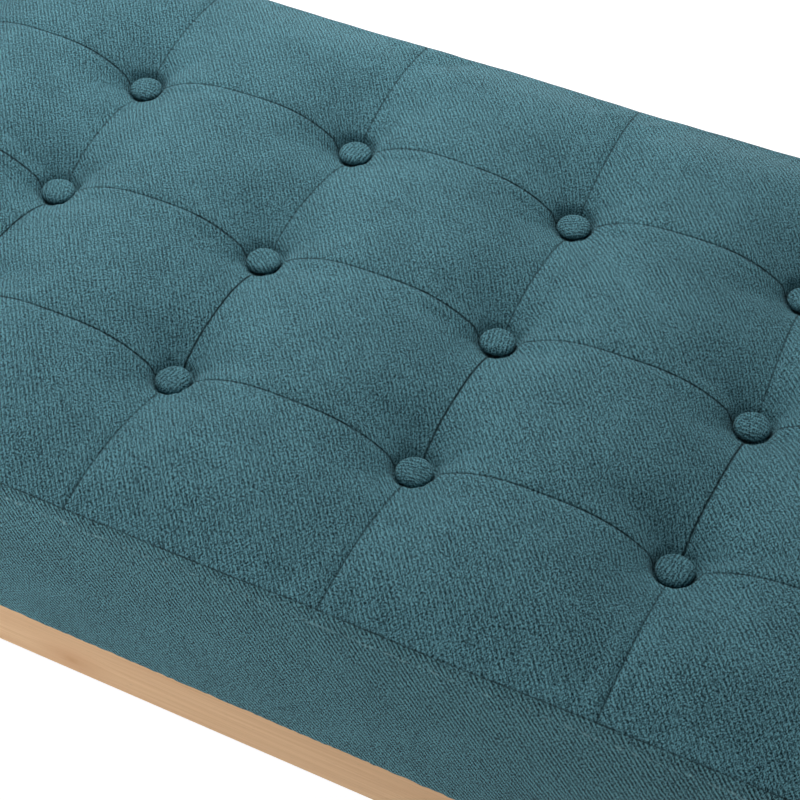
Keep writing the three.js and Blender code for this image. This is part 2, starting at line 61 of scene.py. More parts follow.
# Studio: a white floor and surround, two soft lamps close above the back of the bench's left half, and a big
# one with a narrow beam in front of its left end. Two more, lower than the seat, light its back and right end
# and leave its top alone. Camera and mirror rays see the floor as white paper that keeps a faint shadow.
floor_size = 12.0
floor_glow = 0.92
surround_strength = 0.2
white = (1, 1, 1, 1)
floor_grey = (0.8, 0.8, 0.8, 1)
shadow_grey = (0.4, 0.4, 0.4, 1)


class Signal:
    """One output of a material's nodes. Arithmetic on it adds Math nodes to the same material."""

    def __init__(self, tree, socket=None):
        self.tree = tree
        self.socket = socket

    def node(self, kind, settings=None, inputs=None, output=0):
        """Adds any node: its settings first, then the values or links of its sockets."""
        made = self.tree.nodes.new(kind)
        for name, value in (settings or {}).items():
            setattr(made, name, value)
        for name, value in (inputs or {}).items():
            if isinstance(value, Signal):
                self.tree.links.new(made.inputs[name], value.socket)
            else:
                made.inputs[name].default_value = value
        return Signal(self.tree, made.outputs[output] if made.outputs else None)

    def sibling(self, output):
        """Another output of the same node."""
        return Signal(self.tree, self.socket.node.outputs[output])

    def math(self, operation, *values):
        """A Math node that has this value first."""
        return self.node("ShaderNodeMath", {"operation": operation}, dict(enumerate((self, *values))))

    def vector(self, operation, *values, output=0):
        """A Vector Math node that has this value first."""
        inputs = dict(enumerate((self, *values)))
        return self.node("ShaderNodeVectorMath", {"operation": operation}, inputs, output)

    def mix(self, low, high):
        """Two colours mixed by this value."""
        return self.node("ShaderNodeMix", {"data_type": "RGBA"}, {0: self, 6: low, 7: high}, 2)

    def step(self, low, high):
        """A smooth rise from 0 at low to 1 at high."""
        return self.node(
            "ShaderNodeMapRange",
            {"interpolation_type": "SMOOTHSTEP"},
            {"Value": self, "From Min": low, "From Max": high},
        )

    def noise(self, scale, detail, distortion=0.0, dimensions="3D", output=0):
        """Cloudy noise at this place."""
        return self.node(
            "ShaderNodeTexNoise",
            {"noise_dimensions": dimensions},
            {"Vector": self, "Scale": scale, "Detail": detail, "Distortion": distortion},
            output,
        )

    def dice(self):
        """A random value for each place, taken as its first two coordinates."""
        return self.node("ShaderNodeTexWhiteNoise", {"noise_dimensions": "2D"}, {"Vector": self})

    def object_place(self):
        """The place on the piece, in metres."""
        return self.node("ShaderNodeTexCoord", None, None, 3)

    def surface(self, inputs, height=None, strength=1.0, depth=1.0):
        """Ends the material: a Principled shader with these inputs and, where a height is given, with its
        bump."""
        if height is not None:
            relief = {"Strength": strength, "Distance": depth, "Height": height}
            inputs = {**inputs, "Normal": self.node("ShaderNodeBump", None, relief)}
        shader = self.node("ShaderNodeBsdfPrincipled", None, inputs)
        self.node("ShaderNodeOutputMaterial", None, {"Surface": shader})

    def __add__(self, other):
        return self.math("ADD", other)

    def __sub__(self, other):
        return self.math("SUBTRACT", other)

    def __rsub__(self, other):
        return self.node("ShaderNodeMath", {"operation": "SUBTRACT"}, {0: other, 1: self})

    def __mul__(self, other):
        return self.math("MULTIPLY", other)

    def __truediv__(self, other):
        return self.math("DIVIDE", other)

    __radd__ = __add__
    __rmul__ = __mul__


def new_material(name):
    """An empty material and the signal that starts its nodes."""
    material = bpy.data.materials.new(name)
    material.use_nodes = True
    material.node_tree.nodes.clear()
    return material, Signal(material.node_tree)


def linear(red, green, blue):
    """A colour from its picture values of 0 to 255."""
    share = np.array([red, green, blue]) / 255
    return (*np.where(share <= 0.04045, share / 12.92, ((share + 0.055) / 1.055) ** 2.4), 1)


def seen_directly(start):
    """1 for rays from the camera and for rays off shiny or clear surfaces, else 0."""
    path = start.node("ShaderNodeLightPath")
    mirrored = path.sibling("Is Glossy Ray").math("MAXIMUM", path.sibling("Is Transmission Ray"))
    return path.sibling("Is Camera Ray").math("MAXIMUM", mirrored)


bpy.ops.mesh.primitive_plane_add(size=floor_size)
floor = bpy.context.object
floor.name = "floor"
floor_paper, start = new_material("floor_paper")
plain_floor = start.node("ShaderNodeBsdfDiffuse", None, {"Color": floor_grey})
glow = start.node("ShaderNodeEmission", None, {"Color": white, "Strength": floor_glow})
thin_shadow = start.node("ShaderNodeBsdfDiffuse", None, {"Color": shadow_grey})
bright_floor = start.node("ShaderNodeAddShader", None, {0: glow, 1: thin_shadow})
floor_look = start.node("ShaderNodeMixShader", None, {0: seen_directly(start), 1: plain_floor, 2: bright_floor})
start.node("ShaderNodeOutputMaterial", None, {"Surface": floor_look})
floor.data.materials.append(floor_paper)

surround = bpy.data.worlds.new("surround")
surround.use_nodes = True
surround.node_tree.nodes.clear()
start = Signal(surround.node_tree)
lit = start.node("ShaderNodeBackground", None, {"Color": white, "Strength": surround_strength})
seen = start.node("ShaderNodeBackground", None, {"Color": white, "Strength": 1.0})
both = start.node("ShaderNodeMixShader", None, {0: seen_directly(start), 1: lit, 2: seen})
start.node("ShaderNodeOutputWorld", None, {"Surface": both})
bpy.context.scene.world = surround

for name, place, target, width, height, beam, power in (
    ("soft_lamp_above", (-0.2, 0.5, 1.1), (0, 0, 0.35), 1.2, 1.2, 180, 4.1),
    ("gridded_lamp_above", (-0.5, 0.35, 1.05), (-0.35, 0, 0.35), 0.9, 0.9, 100, 1.25),
    ("soft_lamp_in_front", (-1.5, -1.45, 0.45), (-0.55, -0.25, 0.3), 1.2, 1.2, 60, 3.5),
    ("low_lamp_at_the_right", (2.0, 0.1, 0.2), (0.6, 0.1, 0.25), 0.9, 0.36, 180, 7.0),
    ("low_lamp_behind", (0.1, 2.1, 0.2), (0.1, 0, 0.25), 1.4, 0.36, 180, 14.0),
):
    lamp = bpy.data.objects.new(name, bpy.data.lights.new(name, "AREA"))
    lamp.data.shape = "ELLIPSE"
    lamp.data.size, lamp.data.size_y = width, height
    lamp.data.spread = math.radians(beam)
    lamp.data.energy = power
    lamp.location = place
    lamp.rotation_euler = (Vector(target) - Vector(place)).to_track_quat("-Z", "Y").to_euler()
    lamp.visible_camera = False
    bpy.context.collection.objects.link(lamp)

# Quilted top: teal tweed sewn through its wadding in a grid of eight by four cells, with a button pulling
# the cloth down at each crossing. Its rim is sewn to the side band and its underside lies on the foam.
mm = 0.001
button_rows = ("front", "middle", "back")
button_nodes = [[f"tuft_button_{row}_{i}" for i in range(1, 8)] for row in button_rows]
button_boxes = np.array([[[*map(tuple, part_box(node))] for node in row] for row in button_nodes])
button_xs = button_boxes[0, :, :, 0].mean(axis=1)
button_ys = button_boxes[:, 0, :, 1].mean(axis=1)
button_base, button_face = button_boxes[0, 0, 0, 2], button_boxes[0, 0, 1, 2]
cell_length = button_xs[1] - button_xs[0]
cell_depth = button_ys[1] - button_ys[0]
half_length = button_xs[-1] + cell_length
half_depth = button_ys[-1] + cell_depth
corner_radius = 22 * mm
touching_gap = 0.3 * mm
sewn_within = 2e-6
cloth_floor = button_base - touching_gap
edge_rise = 12.5 * mm
row_seam_rise = 25 * mm
column_seam_rise = 12 * mm
edge_cell_rise = 20 * mm
crown_over_seam = 1 * mm
crown_spread = 0.35
valley_width = 13 * mm
button_pull = 6 * mm
pit_half = 9 * mm
pit_floor, pit_mouth = 11.2 * mm, 16.0 * mm
seam_begins, seam_is_full = 11.5 * mm, 14 * mm
seam_fold = {"column": 0.8 * mm, "row": 0.7 * mm, "edge": 0.7 * mm}
crease_width = {"seam": 0.5 * mm, "edge": 0.45 * mm}
square_until, even_from = 15 * mm, 33 * mm
uneven_reach = 30 * mm
edge_wave_reach = 24 * mm
seat_waves = ((0.9 * mm, 62 * mm, 1), (0.5 * mm, 27 * mm, 2))
edge_waves = ((1.1 * mm, 70 * mm, 5), (0.3 * mm, 16 * mm, 6))
wadding_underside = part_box("quilted_top")[0].z
maker = np.random.default_rng(11)


def smooth_step(value, low, high):
    """0 below low and 1 above high, with a smooth rise between: 3t^2 - 2t^3."""
    t = np.clip((value - low) / (high - low), 0, 1)
    return t * t * (3 - 2 * t)


def uneven(x, y, size, seed, turns=64):
    """Smooth hand-made unevenness between -1 and 1: random values on a lattice of the given size, eased
    between. Along x it comes round again after the given number of lattice steps."""
    lattice = np.random.default_rng(seed).uniform(-1, 1, (64, turns))
    column, row = x / size, y / size + 640
    i, j = np.floor(column).astype(int), np.floor(row).astype(int)
    s, t = smooth_step(column - i, 0, 1), smooth_step(row - j, 0, 1)
    i, j, i2, j2 = i % turns, j % 64, (i + 1) % turns, (j + 1) % 64
    low = lattice[j, i] * (1 - s) + lattice[j, i2] * s
    high = lattice[j2, i] * (1 - s) + lattice[j2, i2] * s
    return low * (1 - t) + high * t


def waves(x, y, parts):
    """A sum of unevennesses, each given by its height, the size of its lattice and its seed."""
    return sum(height * uneven(x, y, size, seed) for height, size, seed in parts)


def fold(distance, radius):
    """Depth of a sewn seam: two rolls of the given radius that meet in it, so quarter circles on both
    sides."""
    inside = np.clip(1 - distance / radius, 0, 1)
    return radius * (1 - np.sqrt(1 - inside**2))


# How far each button was set by hand from its crossing, across and along the seat, in millimetres.
hand_set = np.array(
    [
        [(0.6, -0.5), (-0.8, 1.3), (-0.8, 1.3), (0.3, 0.0), (-0.5, -0.8), (0.9, 0.7), (-0.4, -0.6)],
        [(-0.7, 0.4), (2.7, -1.7), (-3.0, -0.5), (0.4, -0.8), (2.6, 1.5), (-0.9, 0.6), (0.8, 0.3)],
        [(0.5, 0.8), (-1.9, -0.6), (0.9, 2.1), (1.6, -1.1), (-2.6, -0.5), (0.7, -0.4), (-0.5, 0.9)],
    ]
) * mm


def nearest(values, marks):
    """The mark nearest to each value."""
    return marks[np.abs(values[..., None] - marks).argmin(axis=-1)]


def to_seams(x, y):
    """Distances to the nearest column seam and row seam that carry buttons, and to the edge seam."""
    dx, dy = np.abs(x - nearest(x, button_xs)), np.abs(y - nearest(y, button_ys))
    return dx, dy, np.minimum(half_length - np.abs(x), half_depth - np.abs(y))


def seams_show(x, y):
    """How far the seams are drawn in, from 0 to 1; it sets how deep they fold and how dark their painted
    shade is. Row seams are slackest a third of the way from each button to the next one on its right, and
    tight where they reach it. Column seams are tight in the cells between the front and the middle row, and
    slack elsewhere."""
    along = np.mod((x + half_length) / cell_length, 1)
    row_show = 0.55 + 0.45 * np.abs(2 * along - 0.7) ** 1.5
    row_show = np.minimum(1, row_show + 0.3 * smooth_step(along, 0.5, 0.8))
    column_show = np.where((y < button_ys[1]) & (y > button_ys[0]), 1.0, 0.45)
    return row_show, column_show


def round_the_pits(x, y):
    """Squares of the grid round a button become circles, so its pit is modelled round: each square ring
    keeps its half width as the circle's radius, and the change fades out between 15 and 33 mm from the
    button."""
    p, q = x - nearest(x, button_xs), y - nearest(y, button_ys)
    ring, reach = np.maximum(np.abs(p), np.abs(q)), np.maximum(np.hypot(p, q), 1e-9)
    pull = (1 - ring / reach) * (1 - smooth_step(ring, square_until, even_from))
    return x - p * pull, y - q * pull


def seat_height(x, y):
    """Height of the cloth. The row seams arch high between the buttons, the column seams arch low, the cells
    swell over both, and all of it rolls down to the edge seam; folds at the seams and round pits at the
    buttons go in."""
    dx, dy, edge = to_seams(x, y)
    ex, ey = half_length - np.abs(x), half_depth - np.abs(y)
    outer = np.abs(y) > button_ys[-1]
    inner_swell = 1 - np.maximum(0, 1 - 2 * dy / cell_depth) ** 2.2
    outer_swell = 1 - (1 - np.minimum(1, dy / cell_depth)) ** 3
    swell = np.where(outer, outer_swell, inner_swell)
    valley = valley_width * swell
    pulled = button_pull * (1 - swell)
    off = np.maximum(0, dx - pulled)
    climb = (np.hypot(off, valley) - valley) / (np.hypot(cell_length / 2 - pulled, valley) - valley)
    arch = 1 - np.maximum(0, 1 - climb) ** (3 - 0.8 * swell)
    past_pit = np.clip((dy - pit_half) / (cell_depth / 2 - pit_half), 0, 1)
    seam_swell = np.where(outer, outer_swell, 1 - (1 - past_pit) ** 2.5)
    seam_rise = np.where(outer, edge_cell_rise, column_seam_rise)
    roll_x = 1 - np.maximum(0, 1 - ex / cell_length) ** 4
    roll_y = 1 - np.maximum(0, 1 - ey / cell_depth) ** 4
    roll = roll_x * roll_y
    column, row = np.floor((x + half_length) / cell_length), np.floor((y + half_depth) / cell_depth)
    crown = crown_over_seam * (1 + crown_spread * uneven(column, row, 0.73, 3))
    height = row_seam_rise * arch + seam_rise * (1 - arch) * seam_swell + crown * arch * swell
    soft = np.minimum(1, np.minimum(dx / uneven_reach, dy / uneven_reach + 0.3))
    height = height + soft * waves(x, y, seat_waves)
    height = edge_rise * (1 - roll) + roll * height
    radius = np.hypot(dx, dy)
    height = height * smooth_step(radius, pit_floor, pit_mouth)
    open_seam = smooth_step(radius, seam_begins, seam_is_full)
    row_show, column_show = seams_show(x, y)
    height = height - open_seam * column_show * fold(dx, seam_fold["column"])
    height = height - open_seam * row_show * fold(dy, seam_fold["row"])
    height = height - fold(edge, seam_fold["edge"])
    wave = waves(np.sign(x) * half_length * (ex < ey) + x * (ex >= ey), y, edge_waves)
    height = height + wave * (1 - smooth_step(edge, 0, edge_wave_reach))
    return cloth_floor + height


def round_the_corners(x, y, half_x, half_y, radius):
    """The squares at the seat's four corners become quarter discs, by the elliptic map of a square onto a
    disc."""
    u = np.clip((np.abs(x) - half_x + radius) / radius, 0, 1)
    v = np.clip((np.abs(y) - half_y + radius) / radius, 0, 1)
    both_x = np.minimum(np.abs(x), half_x - radius) + radius * u * np.sqrt(1 - v * v / 2)
    both_y = np.minimum(np.abs(y), half_y - radius) + radius * v * np.sqrt(1 - u * u / 2)
    return np.sign(x) * both_x, np.sign(y) * both_y


def hand_shift(x, y):
    """The buttons' offsets carried into the cloth round them: each fades out over one cell as a squared
    cosine."""
    near_x = np.clip(np.abs(x[..., None] - button_xs) / cell_length, 0, 1)
    near_y = np.clip(np.abs(y[..., None] - button_ys) / cell_depth, 0, 1)
    weight_x, weight_y = np.cos(np.pi / 2 * near_x) ** 2, np.cos(np.pi / 2 * near_y) ** 2
    return np.einsum("...c,...r,rck->...k", weight_x, weight_y, hand_set)


def seat_points(x, y):
    """Points of the cloth for the grid's own coordinates, before the pits, corners and offsets bend them."""
    x, y = round_the_pits(x, y)
    z = seat_height(x, y)
    bent_x, bent_y = round_the_corners(x, y, half_length, half_depth, corner_radius)
    shift = hand_shift(x, y)
    return np.stack([bent_x + shift[..., 0], bent_y + shift[..., 1], z], axis=-1)


net_columns, net_rows = 30 * (len(button_xs) + 1), 22 * (len(button_ys) + 1)
net_x = np.linspace(-half_length, half_length, net_columns + 1)
net_y = np.linspace(-half_depth, half_depth, net_rows + 1)
swelling_limit = 4 * mm
held_at_seams, held_at_buttons = 1 * mm, 17 * mm
last_frame = 20


def simulated_swelling():
    """How far the wadding swells the cloth: a net of the seat 5 mm apart is held at its seams and buttons
    and blown up from below by Blender's cloth solver, and each point's way from its start is kept, up to the
    limit."""
    x, y = np.meshgrid(net_x, net_y)
    start_points = seat_points(x, y)
    net = bpy.data.objects.new("cloth_net", mesh_from("cloth_net", [{"points": start_points}], sew=False))
    bpy.context.collection.objects.link(net)
    dx, dy, edge = to_seams(x, y)
    held = (np.minimum(np.minimum(dx, dy), edge) < held_at_seams) | (np.hypot(dx, dy) < held_at_buttons)
    sewn = net.vertex_groups.new(name="sewn")
    sewn.add(np.flatnonzero(held).tolist(), 1.0, "REPLACE")
    cloth = net.modifiers.new("cloth", "CLOTH")
    cloth.settings.vertex_group_mass = "sewn"
    cloth.settings.quality = 6
    cloth.settings.mass = 0.3
    cloth.settings.tension_stiffness = 12
    cloth.settings.compression_stiffness = 12
    cloth.settings.shear_stiffness = 6
    cloth.settings.bending_stiffness = 0.6
    cloth.settings.shrink_min = -0.012
    cloth.settings.use_pressure = True
    cloth.settings.uniform_pressure_force = 4
    cloth.settings.effector_weights.gravity = 0
    for frame_number in range(1, last_frame + 1):
        bpy.context.scene.frame_set(frame_number)
    solved = net.evaluated_get(bpy.context.evaluated_depsgraph_get()).to_mesh()
    moved_points = np.empty(start_points.size, np.float32)
    solved.vertices.foreach_get("co", moved_points)
    bpy.context.scene.frame_set(1)
    bpy.data.objects.remove(net)
    way = moved_points.reshape(start_points.shape) - start_points
    reach = np.linalg.norm(way, axis=-1, keepdims=True)
    return way * np.tanh(reach / swelling_limit) * swelling_limit / np.maximum(reach, 1e-9)


def between(net, x, y):
    """Values of the net at any place of the seat, eased between its four nearest points."""
    column = np.clip((x - net_x[0]) / (net_x[1] - net_x[0]), 0, len(net_x) - 1.001)
    row = np.clip((y - net_y[0]) / (net_y[1] - net_y[0]), 0, len(net_y) - 1.001)
    i, j = column.astype(int), row.astype(int)
    s, t = (column - i)[..., None], (row - j)[..., None]
    low = net[j, i] * (1 - s) + net[j, i + 1] * s
    high = net[j + 1, i] * (1 - s) + net[j + 1, i + 1] * s
    return low * (1 - t) + high * t


def mesh_from(name, patches, sew=True):
    """A mesh of grids of points, each with a UV map in metres and, if given, a value of crease for each
    point. Neighbouring points of a grid make four-sided faces, and points that lie together are sewn into
    one."""
    points, uvs, creases, faces = [], [], [], []
    count = 0
    for patch in patches:
        grid = patch["points"]
        rows, columns = grid.shape[:2]
        index = np.arange(rows * columns).reshape(rows, columns) + count
        quads = np.stack([index[:-1, :-1], index[:-1, 1:], index[1:, 1:], index[1:, :-1]], axis=-1)
        faces.append(quads.reshape(-1, 4))
        points.append(grid.reshape(-1, 3))
        uvs.append(patch.get("uv", grid[..., :2]).reshape(-1, 2))
        creases.append(np.broadcast_to(patch.get("crease", 0.0), (rows, columns)).reshape(-1))
        count += rows * columns
    points, uvs, creases, faces = map(np.concatenate, (points, uvs, creases, faces))
    mesh = bpy.data.meshes.new(name)
    mesh.vertices.add(len(points))
    mesh.vertices.foreach_set("co", points.astype(np.float32).ravel())
    mesh.loops.add(faces.size)
    mesh.loops.foreach_set("vertex_index", faces.astype(np.int32).ravel())
    mesh.polygons.add(len(faces))
    mesh.polygons.foreach_set("loop_start", np.arange(0, faces.size, 4, dtype=np.int32))
    mesh.update(calc_edges=True)
    layer = mesh.uv_layers.new(name="cloth")
    layer.data.foreach_set("uv", uvs[faces.ravel()].astype(np.float32).ravel())
    crease = mesh.attributes.new("crease", "FLOAT", "POINT")
    crease.data.foreach_set("value", creases.astype(np.float32))
    if sew:
        shell = bmesh.new()
        shell.from_mesh(mesh)
        bmesh.ops.remove_doubles(shell, verts=shell.verts, dist=sewn_within)
        bmesh.ops.recalc_face_normals(shell, faces=shell.faces)
        shell.to_mesh(mesh)
        shell.free()
    mesh.polygons.foreach_set("use_smooth", np.ones(len(mesh.polygons), bool))
    mesh.update()
    return mesh


def add_piece(name, shape, material, replaced=()):
    """A finished piece, on the bench's one body. Its shape is a mesh, or a list of grids of points that make
    one."""
    mesh = mesh_from(name, shape) if isinstance(shape, list) else shape
    piece = bpy.data.objects.new(name, mesh)
    bpy.context.collection.objects.link(piece)
    mesh.materials.append(material)
    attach(piece, "root")
    if replaced:
        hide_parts(*replaced)
    return piece


def half_cell(middle):
    """Places of the grid's lines from a seam to the middle of a cell, close together at the seam and the
    pit."""
    near = np.array(
        [0, 0.45, 1.1, 1.9, 3.0, 4.8, 7, 9, 10.3, 11.2, 11.9, 12.6, 13.3, 14.3, 16, 18.6, 22, 26.5, 32.5]
    )
    far_pitch = 9
    far = np.linspace(near[-1], middle / mm, 2 + int((middle / mm - near[-1]) / far_pitch))
    return np.concatenate([near, far[1:]]) * mm


def cell_lines(size):
    """Places of the grid's lines over a whole cell, from seam to seam."""
    half = half_cell(size / 2)
    return np.concatenate([half, (size - half)[-2::-1]])


def all_lines(lines, size, half, count):
    """The lines of one cell carried over all the cells of a side."""
    return np.unique(np.round(np.concatenate([lines + c * size - half for c in range(count)]), 9))


def arc_lengths(points, axis):
    """Distance along the cloth from the middle line of a patch, along one axis of its grid."""
    steps = np.linalg.norm(np.diff(points, axis=axis), axis=-1)
    length = np.insert(np.cumsum(steps, axis=axis), 0, 0, axis=axis)
    middle = length.shape[axis] // 2
    return length - np.take(length, [middle], axis=axis)


swelling = simulated_swelling()
length_lines, depth_lines = cell_lines(cell_length), cell_lines(cell_depth)
top_patches = []
column_count, row_count = len(button_xs) + 1, len(button_ys) + 1
for column in range(column_count):
    for row in range(row_count):
        corner = np.array([column * cell_length - half_length, row * cell_depth - half_depth])
        x, y = np.meshgrid(length_lines + corner[0], depth_lines + corner[1])
        points = seat_points(x, y) + between(swelling, x, y)
        middle = corner + (cell_length / 2, cell_depth / 2)
        along, across = arc_lengths(points, 1) + middle[0], arc_lengths(points, 0) + middle[1]
        dx, dy, edge = to_seams(x, y)
        radius = np.hypot(dx, dy)
        row_show, column_show = seams_show(x, y)
        # Painted shade: the crease darkens the cloth along the seams and the edge seam, and in a ring round
        # each button at the bottom of its pit.
        column_crease = column_show * (1.75 - dx / crease_width["seam"])
        row_crease = row_show * (1.65 - dy / crease_width["seam"])
        crease = np.clip(np.maximum(column_crease, row_crease), 0, 1) * smooth_step(radius, 11 * mm, 13 * mm)
        crease = np.maximum(crease, 0.9 * (1.1 - edge / crease_width["edge"]))
        crease = np.maximum(crease, 1 - smooth_step(radius, 11.6 * mm, 13.4 * mm))
        uv = np.stack([along, across], -1)
        top_patches.append({"points": points, "uv": uv, "crease": np.clip(crease, 0, 1)})

xs = all_lines(length_lines, cell_length, half_length, column_count)
ys = all_lines(depth_lines, cell_depth, half_depth, row_count)
rim_x = np.concatenate([xs, np.full(len(ys), half_length), xs[::-1], np.full(len(ys), -half_length)])
rim_y = np.concatenate([np.full(len(xs), -half_depth), ys, np.full(len(xs), half_depth), ys[::-1]])
rim = seat_points(rim_x, rim_y)


def outward(points):
    """Directions in plan that point out of the seat's outline."""
    inner = np.array([half_length - corner_radius, half_depth - corner_radius])
    away = points[..., :2] - np.clip(points[..., :2], -inner, inner)
    return away / np.linalg.norm(away, axis=-1, keepdims=True)


def moved(points, out, z):
    """Points moved outwards in plan by out, at the height z."""
    flat = points[..., :2] + out * outward(points)
    return np.concatenate([flat, np.broadcast_to(z, flat.shape[:-1])[..., None]], axis=-1)


lip_underside = rim[..., 2] - touching_gap
inside_band = -2.1 * mm
inner_ring = -40 * mm
skirt = np.stack(
    [
        rim,
        moved(rim, 0, lip_underside),
        moved(rim, inside_band, lip_underside),
        moved(rim, inside_band, wadding_underside),
        moved(rim, inner_ring, wadding_underside),
        np.broadcast_to((0, 0, wadding_underside), rim.shape),
    ]
)
# The skirt under the lip is painted dark all over, as shade.
top_patches.append({"points": skirt[::-1], "crease": 0.7})


warp_spacing = 0.8 * mm
weft_spacing = 1.015 * mm
hairs_per_metre = 2900.0
seam_shadow = (0.004, 0.012, 0.015, 1)


def twill(name, light, dark, rib, hairiness):
    """Tweed twill on the UV map in metres. Warp yarns 0.8 mm apart and weft yarns 1.015 mm apart cross over
    two and under two, one step on at each pick, which gives slanting ribs; every yarn is heathered along its
    length. Rib is how much the warp is lighter, and hairiness is the contrast of the fine fibres. The low parts
    of the yarns are painted darker, as shade. The mesh's crease attribute paints shade, darkening the cloth
    where it is over 0, as in a seam, and paints a highlight, lightening the yarns where it is under 0."""
    material, start = new_material(name)
    place = start.node("ShaderNodeUVMap")
    wobble = place.noise(160.0, 2.0, output=1).vector("SUBTRACT", (0.5, 0.5, 0.5))
    shifted = wobble.vector("MULTIPLY_ADD", (0.0006, 0.0006, 0), place)
    across = start.node("ShaderNodeSeparateXYZ", None, {0: shifted})
    u, v = across / warp_spacing, across.sibling(1) / weft_spacing
    end, pick = u.math("FLOOR"), v.math("FLOOR")
    in_end, in_pick = u - end, v - pick
    turn = (end + pick).math("FLOORED_MODULO", 4.0)
    warp_up = turn.math("LESS_THAN", 1.5)
    weft_up = 1 - warp_up
    side = warp_up * in_end + weft_up * in_pick
    ahead = (warp_up * (turn + in_pick) + weft_up * (turn - 2 + in_end)) / 2
    roundness = 1 - (2 * side - 1).math("ABSOLUTE").math("POWER", 2.0)
    bow = 1 - (2 * ahead - 1).math("ABSOLUTE").math("POWER", 3.0)
    height = roundness * 0.6 + bow * 0.4
    yarn = warp_up * (end * 7.31) + weft_up * (pick * 5.17 + 311)
    run = warp_up * v * 0.19 + weft_up * u * 0.17
    heather = start.node("ShaderNodeCombineXYZ", None, {0: yarn, 1: run}).noise(1.0, 3.0, dimensions="2D")

    def speck(ends_on, picks_on):
        return start.node("ShaderNodeCombineXYZ", None, {0: end + ends_on, 1: pick + picks_on}).dice()

    fibre = speck(0, 0) - (speck(1, 0) + speck(-1, 0) + speck(0, 1) + speck(0, -1)) * 0.2 + 0.4
    hair = place.vector("MULTIPLY", (hairs_per_metre,) * 3).vector("FLOOR").dice()
    cloud = place.noise(28.0, 3.0, dimensions="2D")
    # Painted shade: the tone follows the yarns' height, so their low parts are darker.
    tone = (fibre - 0.5) * 0.74 + (heather - 0.5) * 0.4 + (cloud - 0.5) * 0.2 + (height - 0.62) * 0.56
    tone = tone + (hair - 0.5) * hairiness + (warp_up - 0.5) * rib * 1.2 + 0.34
    colour = tone.math("MINIMUM", 1.0).math("MAXIMUM", 0.0).mix(dark, light)
    crease = start.node("ShaderNodeAttribute", {"attribute_name": "crease"}, None, 2)
    broken = place.noise(330.0, 1.0, dimensions="2D")
    # Painted shade where the crease is over 0, mixing towards seam_shadow, and a painted highlight where it is
    # under 0.
    drawn = (crease * (broken * 1.5 + 0.15)).math("MAXIMUM", crease * crease * crease * 0.85)
    drawn = drawn.math("MINIMUM", 0.94).math("MAXIMUM", 0.0)
    painted_highlight_mask = (0 - crease).math("MAXIMUM", 0.0)
    highlighted_colour = (painted_highlight_mask * 0.5).mix(colour, linear(170, 214, 222))
    inputs = {"Base Color": drawn.mix(highlighted_colour, seam_shadow), "Roughness": 0.92, "Specular IOR Level": 0.12}
    inputs.update({"Sheen Weight": 0.03, "Sheen Roughness": 0.5})
    start.surface(inputs, height + fibre * 0.3, 0.5, 0.3 * mm)
    return material


teal_twill = twill("teal_twill", linear(122, 181, 195), linear(4, 29, 36), 0.26, 1.1)
ribbed_twill = twill("ribbed_twill", linear(128, 188, 201), linear(1, 20, 27), 0.47, 1.1)
quilted_cover = add_piece("quilted_cover", top_patches, teal_twill, ["quilted_top"])

# Side band: one long strip of the same cloth round the seat. Its top edge is sewn to the quilted top, and
# the seam's turned edges show as a row of small puckers under it; its foot is turned in and stapled under
# the deck.
band_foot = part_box("side_band")[0].z
band_top = cloth_floor + edge_rise - seam_fold["edge"] - touching_gap
band_foot_out = 4 * mm
band_bulge = 5 * mm
foot_flare = 1.2 * mm
hem_width = 30 * mm
hem_middle = -10 * mm
cloth_thickness = 1.5 * mm
pucker_line, pucker_width = 8.8 * mm, 1.3 * mm
fleck_depth, fleck_height = 9.1 * mm, 0.9 * mm


def outline_path(spacing):
    """Points round the seat's outline at the edge seam, anticlockwise from the front left, with their
    distances."""
    straight_x, straight_y = half_length - corner_radius, half_depth - corner_radius
    quarter = np.linspace(0, np.pi / 2, 17)[:-1]
    sides = []
    for turn, (start_x, start_y), length in (
        (0, (-straight_x, -half_depth), 2 * straight_x),
        (1, (half_length, -straight_y), 2 * straight_y),
        (2, (straight_x, half_depth), 2 * straight_x),
        (3, (-half_length, straight_y), 2 * straight_y),
    ):
        heading = turn * np.pi / 2
        ahead = np.array([math.cos(heading), math.sin(heading)])
        left = np.array([-ahead[1], ahead[0]])
        line = np.linspace(0, length, int(length / spacing) + 1)[:-1, None]
        begin = np.array([start_x, start_y])
        centre = begin + ahead * length + left * corner_radius
        bend = centre + corner_radius * (np.sin(quarter)[:, None] * ahead - np.cos(quarter)[:, None] * left)
        sides += [begin + line * ahead, bend]
    path = np.concatenate(sides)
    path = np.concatenate([path, path[:1]])
    distance = np.insert(np.cumsum(np.linalg.norm(np.diff(path, axis=0), axis=1)), 0, 0)
    return path, distance


def band_out(share):
    """How far the band stands out of the seat's outline, at a share of its height above its foot: the foot's
    share of 4 mm and a bulge of 5 mm, 4 x 5 mm x share x (1 - share)."""
    return band_foot_out * (1 - share) + 4 * band_bulge * share * (1 - share)


def bell(distance, width):
    """A bell of height 1: exp(-(distance / width)^2)."""
    return np.exp(-((distance / width) ** 2))


path, path_length = outline_path(1.75 * mm)
path_points = np.concatenate([path, np.zeros((len(path), 1))], axis=1)
down = np.array(
    [0, 0.25, 0.6, 1.1, 1.8, 2.8, 4, 5.4, 6.6, 7.4, 8.0, 8.5, 9.0, 9.5, 10.0, 10.6, 11.6, 13.2, 16, 20, 26, 34,
     45, 57, 69, 81, 92, 100, 106, 110.5, 113.8, 116, 117.5, 118.3]
) * mm
down = down[:, None] * ((band_top - band_foot) / down[-1])
share = 1 - down / down[-1]
around_x, around_y = path[None, :, 0], path[None, :, 1]
along_path = np.broadcast_to(path_length, (len(down), len(path)))
full = np.sin(np.pi * share)


def round_uneven(height, turns, seed, stretch=1.0):
    """Unevenness of the strip that comes round again after its whole length, which holds the given number of
    steps."""
    step = path_length[-1] / turns
    return uneven(along_path, height * stretch, step, seed, turns)


